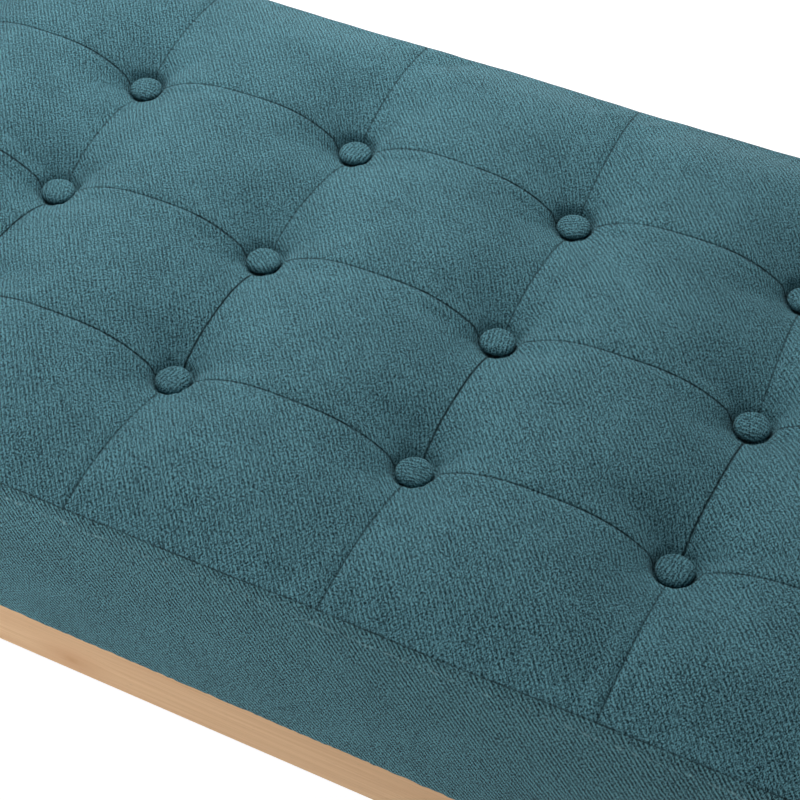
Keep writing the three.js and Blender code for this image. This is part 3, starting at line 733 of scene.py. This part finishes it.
out = band_out(share) + foot_flare * (1 - share) ** 6
out = out + full * (0.9 * mm * round_uneven(down, 41, 21) + 0.4 * mm * round_uneven(down, 112, 22))
pucker = round_uneven(down, 760, 23, 2.4)
fleck = round_uneven(down, 1310, 26, 0.6)
fleck_line = fleck_depth + 1.0 * mm * round_uneven(down * 0, 410, 27)
welt = smooth_step(down, 1 * mm, 3 * mm) * (1 - smooth_step(down, 8.2 * mm, 10.4 * mm))
out = out + 0.5 * mm * welt + mm * bell(down - pucker_line, pucker_width) * (0.1 + pucker)
out = out + fleck_height * bell(down - fleck_line, 0.8 * mm) * np.clip(2 * fleck - 0.3, 0, 1)
out = out - fold(down, 0.7 * mm) - 1.4 * mm * (fold(share * down[-1], 1.6 * mm) / (1.6 * mm))
out = out + 0.4 * mm * round_uneven(down, 1093, 24) * (1 - share) ** 10
level = band_top - down + waves(around_x, around_y, edge_waves) * share**8
level = level + 0.35 * mm * np.maximum(0, round_uneven(down, 941, 25)) * (1 - share) ** 14
outside = np.concatenate([path[None] + out[..., None] * outward(path_points)[None], level[..., None]], axis=-1)
inner_down = down[::-5]
inner_share = share[::-5]
inner_out = band_out(inner_share) - cloth_thickness
inner_level = (band_top - inner_down) + waves(around_x, around_y, edge_waves) * inner_share**8
inner_level = np.maximum(inner_level, band_foot + cloth_thickness)
inner_level = np.minimum(inner_level, level[0] - 0.05 * mm)
inner_out = np.minimum(np.broadcast_to(inner_out, inner_level.shape), out[::-5] - 1.2 * mm)
inside_plan = path[None] + inner_out[..., None] * outward(path_points)[None]
inside = np.concatenate([inside_plan, inner_level[..., None]], axis=-1)
hem_edge = band_foot_out - hem_width
hem = np.stack(
    [
        moved(path_points, hem_middle, band_foot),
        moved(path_points, hem_edge, band_foot),
        moved(path_points, hem_edge, band_foot + cloth_thickness),
        moved(path_points, hem_middle, band_foot + cloth_thickness),
    ]
)
band_points = np.concatenate([outside, hem, inside, outside[:1]])
band_points[:, -1] = band_points[:, 0]
band_drop = np.insert(np.cumsum(np.linalg.norm(np.diff(band_points[:, 0], axis=0), axis=1)), 0, 0)
band_uv = np.stack(np.broadcast_arrays(path_length[None], -band_drop[:, None]), axis=-1)
# Painted shade: the band is darkened along its top seam and along its foot, where it meets the rail.
top_edge = np.clip(1 - band_drop / crease_width["edge"], 0, 1)
foot_edge = np.clip(1 - np.abs(band_drop - band_drop[len(down) - 1]) / (1.2 * mm), 0, 1)
painted_edge_shade = np.maximum(top_edge * 0.8, foot_edge * 0.5)
band_crease = np.array(np.broadcast_to(painted_edge_shade[:, None], band_points.shape[:2]))
# Painted highlight: a negative crease lightens small flecks along the puckers under the seam.
band_crease[: len(down)] -= bell(down - fleck_line, 0.6 * mm) * np.clip(2.6 * fleck, 0, 1)
strip = {"points": band_points, "uv": band_uv, "crease": band_crease}
side_band = add_piece("sewn_side_band", [strip], ribbed_twill, ["side_band"])

# Covered buttons: a shallow metal mould wrapped in a disc of the cloth, each turned another way by hand.
# The twine holds each one down on the cloth at the bottom of its pit.
rib_turns = np.radians(
    [
        [20, 75, 164, 100, 175, 60, 140],
        [110, 26, 54, 13, 86, 150, 35],
        [70, 98, 174, 118, 40, 95, 160],
    ]
)
button_height = button_face - button_base
dome = np.array(
    [(0, 1), (2, 0.994), (4, 0.975), (6, 0.94), (7.6, 0.89), (8.9, 0.81), (9.8, 0.71), (10.5, 0.58), (11, 0.43),
     (11.25, 0.3), (11.15, 0.17), (10.7, 0.07), (9.9, 0.01), (8.6, 0), (5, 0.02), (0, 0.04)]
)
dome_radius, dome_level = dome[:, 0] * mm, dome[:, 1] * button_height
wrap = np.insert(np.cumsum(np.hypot(np.diff(dome_radius), np.diff(dome_level))), 0, 0)
round_angle = np.linspace(0, 2 * np.pi, 73)
for row, names in enumerate(button_nodes):
    for column, node in enumerate(names):
        lean = maker.uniform(-0.03, 0.03, 2)
        phase = maker.uniform(0, 2 * np.pi, 2)
        grow = 1 + 0.008 * np.cos(3 * round_angle + phase[0]) + 0.006 * np.cos(5 * round_angle + phase[1])
        flat_x = dome_radius[:, None] * np.cos(round_angle) * grow
        flat_y = dome_radius[:, None] * np.sin(round_angle) * grow
        level = button_base + dome_level[:, None] + lean[0] * flat_x + lean[1] * flat_y
        centre = np.array([button_xs[column], button_ys[row]]) + hand_set[row, column]
        points = np.stack([flat_x + centre[0], flat_y + centre[1], level], axis=-1)
        points[:, -1] = points[:, 0]
        turn = rib_turns[row, column] - math.atan2(warp_spacing, weft_spacing)
        direction = np.stack([np.cos(round_angle - turn), np.sin(round_angle - turn)], -1)
        uv = wrap[::-1, None, None] * direction[None] + (0.05 * column, 0.07 * row)
        # Painted shade: the button's lower side, under its face, is darkened.
        low = np.clip(1.5 - (level - button_base) / (2.4 * mm), 0, 1)
        patch = {"points": points[::-1], "uv": uv, "crease": 0.9 * low[::-1]}
        add_piece(node.replace("tuft", "covered"), [patch], teal_twill, [node])

# Foam block: a slab of cut foam that fills the seat between the deck and the wadding. It is cut a little too
# large for the band, which it bulges, and its edges are soft.
foam_inset = 2.2 * mm
foam_edge = 4 * mm
foam_low, foam_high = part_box("foam_block")[0].z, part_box("foam_block")[1].z
coarse_path = outline_path(16 * mm)[0]
coarse_points = np.concatenate([coarse_path, np.zeros((len(coarse_path), 1))], axis=1)
foam_levels = np.linspace(foam_low, foam_high, 13)
foam_outs = band_out((foam_levels - band_foot) / (band_top - band_foot)) - foam_inset
foam_outs = foam_outs - fold(np.minimum(foam_levels - foam_low, foam_high - foam_levels), foam_edge)
foam_rings = [moved(coarse_points, out_here, z) for out_here, z in zip(foam_outs, foam_levels)]
middle_low = np.broadcast_to((0, 0, foam_low), coarse_points.shape)
middle_high = np.broadcast_to((0, 0, foam_high), coarse_points.shape)
foam_grid = np.stack([middle_low, *foam_rings, middle_high])


def cut_foam():
    """Open-cell foam: pale yellow, speckled with small cells."""
    material, start = new_material("cut_foam")
    place = start.object_place()
    cells = start.node("ShaderNodeTexVoronoi", None, {"Vector": place, "Scale": 900.0})
    colour = (place.noise(9.0, 3.0) * 0.6 + cells * 0.7).mix(linear(232, 216, 160), linear(206, 184, 122))
    start.surface({"Base Color": colour, "Roughness": 0.95}, cells, 0.5, 0.4 * mm)
    return material


foam_fill = add_piece("foam_fill", [{"points": foam_grid}], cut_foam(), ["foam_block"])

# Rails: pale straight-grained boards under a satin lacquer, with their outer corners rounded and every edge
# eased by sanding. The end rails are tenoned into the front and back ones.
rail_ease, hidden_ease = 1.2 * mm, 0.8 * mm
flat_within = math.radians(0.5)
knot_place = (-0.1748, -0.238, 0.2478)


def hardwood(name, grain, seed, knot=None):
    """Pale hardwood with its grain along one axis (0, 1 or 2): broad soft bands and fine lines drawn out
    along the grain, short pores, and a faint knot where one is given, which pushes the lines apart. The seed
    moves the pattern, so that no two boards are alike."""
    material, start = new_material(name)
    place = start.object_place()
    if knot:
        away = place.vector("SUBTRACT", knot)
        distance = away.vector("MULTIPLY", (0.55, 0, 1.0)).vector("LENGTH", output=1)
        spread = start.node("ShaderNodeCombineXYZ", None, {2: (distance.step(0, 0.022) - 1) * 0.7})
        place = away.vector("MULTIPLY_ADD", spread, place)

    def drawn_out(across, along, detail, offset=0.0):
        scale = [1 / across] * 3
        scale[grain] = 1 / along
        start_of_pattern = (seed + offset, seed * 1.7, seed * 2.3)
        laid = {"Vector": place, "Location": start_of_pattern, "Scale": tuple(scale)}
        return start.node("ShaderNodeMapping", None, laid).noise(1.0, detail, 0.4)

    bands = drawn_out(0.02, 0.55, 2.0)
    lines = drawn_out(0.0024, 0.14, 3.0, 3.1)
    streaks = drawn_out(0.0009, 0.07, 2.0, 9.4)
    fibre = drawn_out(0.0006, 0.02, 2.0, 7.7)
    pores = drawn_out(0.00045, 0.006, 1.0, 5.3).step(0.66, 0.78)
    tone = bands * 0.35 + lines * 0.4 + streaks * 0.55 + fibre * 0.2 - 0.25
    colour = tone.step(0.1, 0.9).mix(linear(250, 208, 162), linear(222, 174, 128))
    colour = (pores * 0.28).mix(colour, linear(150, 108, 74))
    if knot:
        core = 1 - (distance + streaks * 0.005).step(0.001, 0.0075)
        halo = 1 - (distance + streaks * 0.012).step(0.004, 0.026)
        colour = (core * 0.22 + halo * 0.36).mix(colour, linear(192, 122, 62))
    inputs = {"Base Color": colour, "Roughness": 0.42 + lines * 0.16, "Specular IOR Level": 0.35}
    start.surface(inputs, lines * 0.5 + fibre * 0.3 - pores * 0.6, 0.25, 0.2 * mm)
    return material


def eased_copy(node, name):
    """A copy of a stiff CAD node, with its loose triangles sewn, flat faces joined and its faces shaded smooth
    except across edges of 32 degrees or more.
    """
    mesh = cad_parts[node].data.copy()
    mesh.name = name
    mesh.materials.clear()
    shell = bmesh.new()
    shell.from_mesh(mesh)
    bmesh.ops.remove_doubles(shell, verts=shell.verts, dist=sewn_within)
    bmesh.ops.dissolve_limit(shell, angle_limit=flat_within, verts=shell.verts, edges=shell.edges)
    for face in shell.faces:
        face.smooth = True
    for edge in shell.edges:
        edge.smooth = edge.calc_face_angle(0) < math.radians(32)
    shell.to_mesh(mesh)
    shell.free()
    return mesh


def add_eased(node, name, material, ease=hidden_ease):
    """A piece made from a stiff CAD node, with its sharp edges rounded by the given width."""
    piece = add_piece(name, eased_copy(node, name), material, [node])
    easing = piece.modifiers.new("easing", "BEVEL")
    easing.width = ease
    easing.segments = 2
    easing.limit_method = "ANGLE"
    easing.angle_limit = math.radians(35)
    easing.harden_normals = True
    easing.use_clamp_overlap = True
    return piece


for side, grain, seed, knot in (
    ("front", 0, 0.0, knot_place),
    ("back", 0, 4.3, None),
    ("left", 1, 8.9, None),
    ("right", 1, 13.1, None),
):
    wood = hardwood(f"{side}_board_wood", grain, seed, knot)
    add_eased(f"{side}_rail", f"{side}_board", wood, rail_ease)

# Cross rails and corner blocks: plain pieces of the same wood inside the frame, sawn and lightly eased. The
# rails carry the deck between the long boards, and the blocks are glued into the corners to hold the legs.
for side, seed in (("left", 17.7), ("right", 21.9)):
    add_eased(f"cross_rail_{side}", f"{side}_cross_rail", hardwood(f"{side}_cross_wood", 1, seed))
corners = ("front_left", "front_right", "back_right", "back_left")
for i, corner in enumerate(corners):
    wood = hardwood(f"{corner}_block_wood", 0, 25.0 + 3.7 * i)
    add_eased(f"corner_block_{corner}", f"{corner}_block", wood)

# Seat deck: a 12 mm plywood board with rounded corners, drilled under every button. The band's hem is stapled
# under its edge, and four screws from below hold it on the corner blocks.
two_plies_thick = 3.4 * mm


def plywood_board():
    """Plywood: a rotary-cut face with wide figure, and crossed plies 1.7 mm thick where the edge shows."""
    material, start = new_material("plywood")
    place = start.object_place()
    laid = start.node("ShaderNodeMapping", None, {"Vector": place, "Scale": (2.2, 16.0, 600.0)})
    figure = laid.noise(1.0, 5.0, 1.3)
    height = start.node("ShaderNodeSeparateXYZ", None, {0: place}, 2)
    ply = (height / two_plies_thick).math("FRACT").step(0.45, 0.55)
    colour = (figure * 0.7 + ply * 0.25).mix(linear(214, 184, 138), linear(165, 128, 84))
    start.surface({"Base Color": colour, "Roughness": 0.7}, figure, 0.3, 0.3 * mm)
    return material


def give_material(node, material):
    """A CAD node shown as it is, in the given material."""
    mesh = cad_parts[node].data
    mesh.materials.clear()
    mesh.materials.append(material)


give_material("seat_deck", plywood_board())

# Legs: turned and tapered from the same wood, splayed outwards and cut level at the foot. A bolt in the top
# of each one holds it up against the steel plate under its corner block.
leg_splay = math.radians(11)
leg_foot_radius = 12 * mm
leg_taper = 9 * mm
leg_top_radius = leg_foot_radius + leg_taper
leg_hollow = 0.12
plate_thickness = 2.5 * mm


def middle_of(node):
    """The middle of a CAD node's box, in plan."""
    low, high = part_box(node)
    return np.array([(low.x + high.x) / 2, (low.y + high.y) / 2])


def rings(centres, radius, angle, first, second):
    """A grid of points: a ring round each centre in the plane of two directions, with its ends on one
    place."""
    around = np.cos(angle)[:, None] * np.array(first) + np.sin(angle)[:, None] * np.array(second)
    points = centres[:, None] + radius[..., None] * around
    points[:, -1] = points[:, 0]
    return points


def leg_of(corner):
    """A turned leg along its slanting axis: it tapers from 42 mm to 24 mm with a slight hollow on the way
    down."""
    foot_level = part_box(f"leg_{corner}")[0].z
    plate_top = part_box(f"leg_plate_{corner}")[1].z
    side = np.sign(middle_of(f"leg_{corner}"))
    axis = np.array([*(side * math.sin(leg_splay) / math.sqrt(2)), -math.cos(leg_splay)])
    top_level = plate_top - plate_thickness - (leg_top_radius * math.sin(leg_splay) + touching_gap)
    length = (top_level - foot_level) / math.cos(leg_splay)
    top = np.array([*middle_of(f"foot_glide_{corner}"), foot_level]) - axis * length
    first = np.cross(axis, (0, 0, 1.0))
    first /= np.linalg.norm(first)
    second = np.cross(axis, first)
    share = np.linspace(0, 1, 41)[1:]
    radius = leg_foot_radius + leg_taper * (1 - share) * (1 - leg_hollow * np.sin(np.pi * share))
    top_edge = np.array([0, 19.2, 20.1, 20.8]) * mm
    past_foot = 1.06 * length
    radius = np.concatenate([top_edge, radius, [leg_foot_radius, 0]])
    along = np.concatenate([[0, 0, 0.25 * mm, 1.1 * mm], share * length, [past_foot, past_foot]])
    points = rings(top + along[:, None] * axis, radius[:, None], np.linspace(0, 2 * np.pi, 65), first, second)
    rise = np.maximum(foot_level - points[..., 2], 0) / -axis[2]
    return points - rise[..., None] * axis


for i, corner in enumerate(corners):
    wood = hardwood(f"{corner}_leg_wood", 2, 41.0 + 5.1 * i)
    add_piece(f"turned_leg_{corner}", [{"points": leg_of(corner)}], wood, [f"leg_{corner}"])

# Leg plates, hanger bolts and deck screws: pressed and turned steel, plated with zinc. A slanted boss on
# each plate takes the bolt, which holds leg, plate and block together.


def zinc_steel():
    """Zinc-plated steel: bright grey with soft cloudy staining."""
    material, start = new_material("zinc_steel")
    cloud = start.object_place().noise(60.0, 5.0)
    colour = cloud.mix(linear(188, 190, 190), linear(150, 153, 156))
    start.surface({"Base Color": colour, "Roughness": cloud * 0.3 + 0.22, "Metallic": 1.0})
    return material


steel = zinc_steel()
plate_ease = 0.4 * mm
for corner in corners:
    add_eased(f"leg_plate_{corner}", f"steel_plate_{corner}", steel, plate_ease)
    for kind in ("hanger_bolt", "deck_screw"):
        give_material(f"{kind}_{corner}", steel)

# Plate screws: four round-headed wood screws hold each leg plate up to its corner block. Each head is a low
# dome with a cross recess, and only the heads are made, because their threads are inside the wood.
head_profile = [(0, -1.9), (0.5, -2.0), (1.0, -2.1), (1.5, -2.15), (1.9, -2.2), (2.2, -2.3), (2.8, -2.2),
                (3.4, -1.8), (3.9, -1.2), (4.1, -0.6), (4.05, 0), (0, 0)]
screw_reach = 22 * mm
recess_depth = 0.9 * mm
head_level = 2.6 * mm


def lathe(profile, centre, turns=48):
    """A grid of points: a profile of radius and height, in millimetres, carried round the upright line
    through the centre."""
    radius, level = np.array(profile).T * mm
    centres = level[:, None] * np.array([0, 0, 1]) + centre
    return rings(centres, radius[:, None], np.linspace(0, 2 * np.pi, turns + 1), (1, 0, 0), (0, 1, 0))


for corner in corners:
    plate_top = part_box(f"leg_plate_{corner}")[1].z
    plate_middle = middle_of(f"leg_plate_{corner}")
    heads = []
    for side in ((-1, -1), (1, -1), (1, 1), (-1, 1)):
        place = np.array([*(plate_middle + screw_reach * np.array(side)), plate_top - head_level])
        head = lathe(head_profile, place)
        away = head - place
        turned = np.arctan2(away[..., 1], away[..., 0]) + maker.uniform(0, np.pi)
        in_cross = smooth_step(np.abs(np.cos(2 * turned)), 0.72, 0.9)
        in_reach = 1 - smooth_step(np.hypot(away[..., 0], away[..., 1]), 1.7 * mm, 2.2 * mm)
        below = away[..., 2] < -1 * mm
        head[..., 2] += recess_depth * in_cross * in_reach * below
        head[:, -1] = head[:, 0]
        heads.append({"points": head})
    add_piece(f"plate_screws_{corner}", heads, steel)

# Foot glides: a moulded nylon pad under each leg, with a rounded rim and a pin driven up into the wood.
# They are nearly black, with a fine satin grain.
glide_profile = [(0, 0.3), (8.4, 0.3), (9.0, 0), (10.4, 0), (11.1, 0.3), (11.5, 1.0), (11.5, 4.3), (11.2, 4.85),
                 (10.6, 5), (1.8, 5), (1.8, 17.0), (1.2, 18.5), (0, 19)]


def moulded_nylon():
    """Black-brown moulded nylon with a fine satin grain."""
    material, start = new_material("moulded_nylon")
    grain = start.object_place().noise(1400.0, 2.0)
    colour = grain.mix(linear(36, 34, 32), linear(50, 48, 46))
    start.surface({"Base Color": colour, "Roughness": 0.5}, grain, 0.2, 0.1 * mm)
    return material


nylon = moulded_nylon()
for corner in corners:
    node = f"foot_glide_{corner}"
    glide = lathe(glide_profile, (*middle_of(node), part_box(node)[0].z))
    add_piece(f"moulded_glide_{corner}", [{"points": glide}], nylon, [node])

# Tufting twine: two plies of waxed polyester, twisted together. One length runs under the deck below each
# row of buttons and is knotted at both ends, and a strand goes up through the deck and the foam to every
# button.
twine_radius = 1 * mm
knot_radius = 2.5 * mm
ply_pitch = 7 * mm


def two_plies(begin, end):
    """A closed tube from begin to end. Its radius is 1 mm x (0.84 + 0.16 cos 2(angle - twist)), so it has
    two plies, and the twist makes one turn in 7 mm."""
    length = np.linalg.norm(end - begin)
    axis = (end - begin) / length
    first = np.cross(axis, (0, 1.0, 0))
    first /= np.linalg.norm(first)
    along = np.linspace(0, length, int(length / (1.2 * mm)))
    along = np.concatenate([[0], along, [length]])[:, None]
    angle = np.linspace(0, 2 * np.pi, 13)
    radius = twine_radius * (0.84 + 0.16 * np.cos(2 * (angle - 2 * np.pi * along / ply_pitch)))
    radius[[0, -1]] = 0
    return rings(begin + along * axis, radius, angle, first, np.cross(axis, first))


def pulled_knot(place):
    """A small hard knot: a ball of 2.5 mm radius, times 0.9 + 0.1 cos(3 longitude + 5 latitude) for its
    wraps."""
    latitude = np.linspace(-np.pi / 2, np.pi / 2, 17)[:, None]
    longitude = np.linspace(0, 2 * np.pi, 33)
    radius = knot_radius * (0.9 + 0.1 * np.cos(3 * longitude + 5 * latitude) * np.cos(latitude))
    flat = radius * np.cos(latitude)
    points = np.stack([flat * np.cos(longitude), flat * np.sin(longitude), radius * np.sin(latitude)], axis=-1)
    points[:, -1] = points[:, 0]
    points[[0, -1]] = points[[0, -1], :1]
    return points + place


def plain_cloth(name, light, dark, scale):
    """A matt thread or cloth of two close colours, with a grain of the given scale."""
    material, start = new_material(name)
    grain = start.object_place().noise(scale, 4.0)
    start.surface({"Base Color": grain.mix(dark, light), "Roughness": 0.9}, grain, 0.4, 0.3 * mm)
    return material


twine_look = plain_cloth("waxed_twine", linear(222, 212, 182), linear(176, 164, 130), 700.0)
for row, row_name in enumerate(button_rows):
    twine_low, twine_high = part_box(f"tuft_twine_{row_name}")
    run_level = twine_low.z + 2 * knot_radius - twine_radius
    starts = [np.array([x, button_ys[row], run_level]) for x in button_xs]
    lengths = [{"points": two_plies(starts[0], starts[-1])}]
    for column, start in enumerate(starts):
        top = np.array([*(start[:2] + hand_set[row, column]), twine_high.z])
        lengths.append({"points": two_plies(start, top)})
    for end in (starts[0], starts[-1]):
        lengths.append({"points": pulled_knot(end + (0, 0, twine_radius - knot_radius))})
    add_piece(f"waxed_twine_{row_name}", lengths, twine_look, [f"tuft_twine_{row_name}"])

# Dust cover: a sheet of black non-woven cloth, cut out at the corners round the leg plates and stapled up to
# the undersides of the rails. It is pulled nearly flat and sags 2 to 3 mm in the middle.
dust_look = plain_cloth("dust_cloth", linear(44, 44, 46), linear(20, 20, 22), 900.0)
low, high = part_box("dust_cover")
notch = 85 * mm
sheet_below = 0.5 * mm
sag_depth, sag_waves = 2.2 * mm, ((0.7 * mm, 60 * mm, 31),)
lines_in_notch = 9
on_line = 1e-6


def sheet_lines(begin, end, inner_count):
    """Places of the sheet's grid lines from begin to end, with one on the edge of each notch."""
    inner = np.linspace(begin + notch, end - notch, inner_count)
    outer = [np.linspace(begin, begin + notch, lines_in_notch), np.linspace(end - notch, end, lines_in_notch)]
    return np.unique(np.concatenate([outer[0], inner, outer[1]]))


def lines_within(lines, begin, end):
    """The lines that lie between begin and end, and on them."""
    return lines[(lines > begin - on_line) & (lines < end + on_line)]


sheet_x, sheet_y = sheet_lines(low.x, high.x, 90), sheet_lines(low.y, high.y, 25)
cut_patches = []
for begin_x, end_x, begin_y, end_y in (
    (low.x, low.x + notch, low.y + notch, high.y - notch),
    (low.x + notch, high.x - notch, low.y, high.y),
    (high.x - notch, high.x, low.y + notch, high.y - notch),
):
    x, y = np.meshgrid(lines_within(sheet_x, begin_x, end_x), lines_within(sheet_y, begin_y, end_y))
    inset = np.minimum((high.x - low.x) / 2 - np.abs(x), (high.y - low.y) / 2 - np.abs(y))
    sag = smooth_step(inset, 10 * mm, 120 * mm) * (sag_depth + waves(x, y, sag_waves))
    cut_patches.append({"points": np.stack([x, y, high.z - sheet_below - sag], axis=-1)})
dust_sheet = add_piece("dust_sheet", cut_patches, dust_look, ["dust_cover"])
thickness = dust_sheet.modifiers.new("cloth_thickness", "SOLIDIFY")
thickness.thickness = 0.4 * mm
thickness.offset = 0

# Staples: flat-wire staples hold the dust sheet up to the rails, one every 55 mm along its straight edges.
# Each is a crown about 9 mm wide with its ends bent up into the wood.
staple_outline = np.array([[-4.6, 0], [-4.4, -0.45], [-3.9, -0.65], [3.9, -0.65], [4.4, -0.45], [4.6, 0]]) * mm
staple_width = 1.1 * mm
staple_pitch = 55 * mm
staple_inset = 5 * mm
staple_level = high.z - 0.72 * mm
clear_of_notch = 12 * mm
sheet_half = np.array([(high.x - low.x) / 2, (high.y - low.y) / 2])
loop = np.concatenate([staple_outline, staple_outline[:1]])
middle = np.broadcast_to(staple_outline.mean(axis=0), loop.shape)
wire = np.stack([middle, loop, loop, middle], axis=1)
wire_side = np.array([-1, -1, 1, 1]) * staple_width / 2
staples = []
for along in (0, 1):
    reach = sheet_half[along] - notch - clear_of_notch
    places = np.linspace(-reach, reach, 1 + round(2 * reach / staple_pitch))
    for side in (-1, 1):
        for place in places:
            spot = np.zeros(3)
            spot[along] = place + maker.uniform(-4, 4) * mm
            spot[1 - along] = side * (sheet_half[1 - along] - staple_inset + maker.uniform(-1, 1) * mm)
            spot[2] = staple_level
            skew = maker.uniform(-0.2, 0.2)
            points = np.zeros((*wire.shape[:2], 3))
            points[..., along] = wire[..., 0] * math.cos(skew) - wire_side * math.sin(skew)
            points[..., 1 - along] = wire[..., 0] * math.sin(skew) + wire_side * math.cos(skew)
            points[..., 2] = wire[..., 1]
            staples.append({"points": points + spot})
add_piece("dust_sheet_staples", staples, steel)
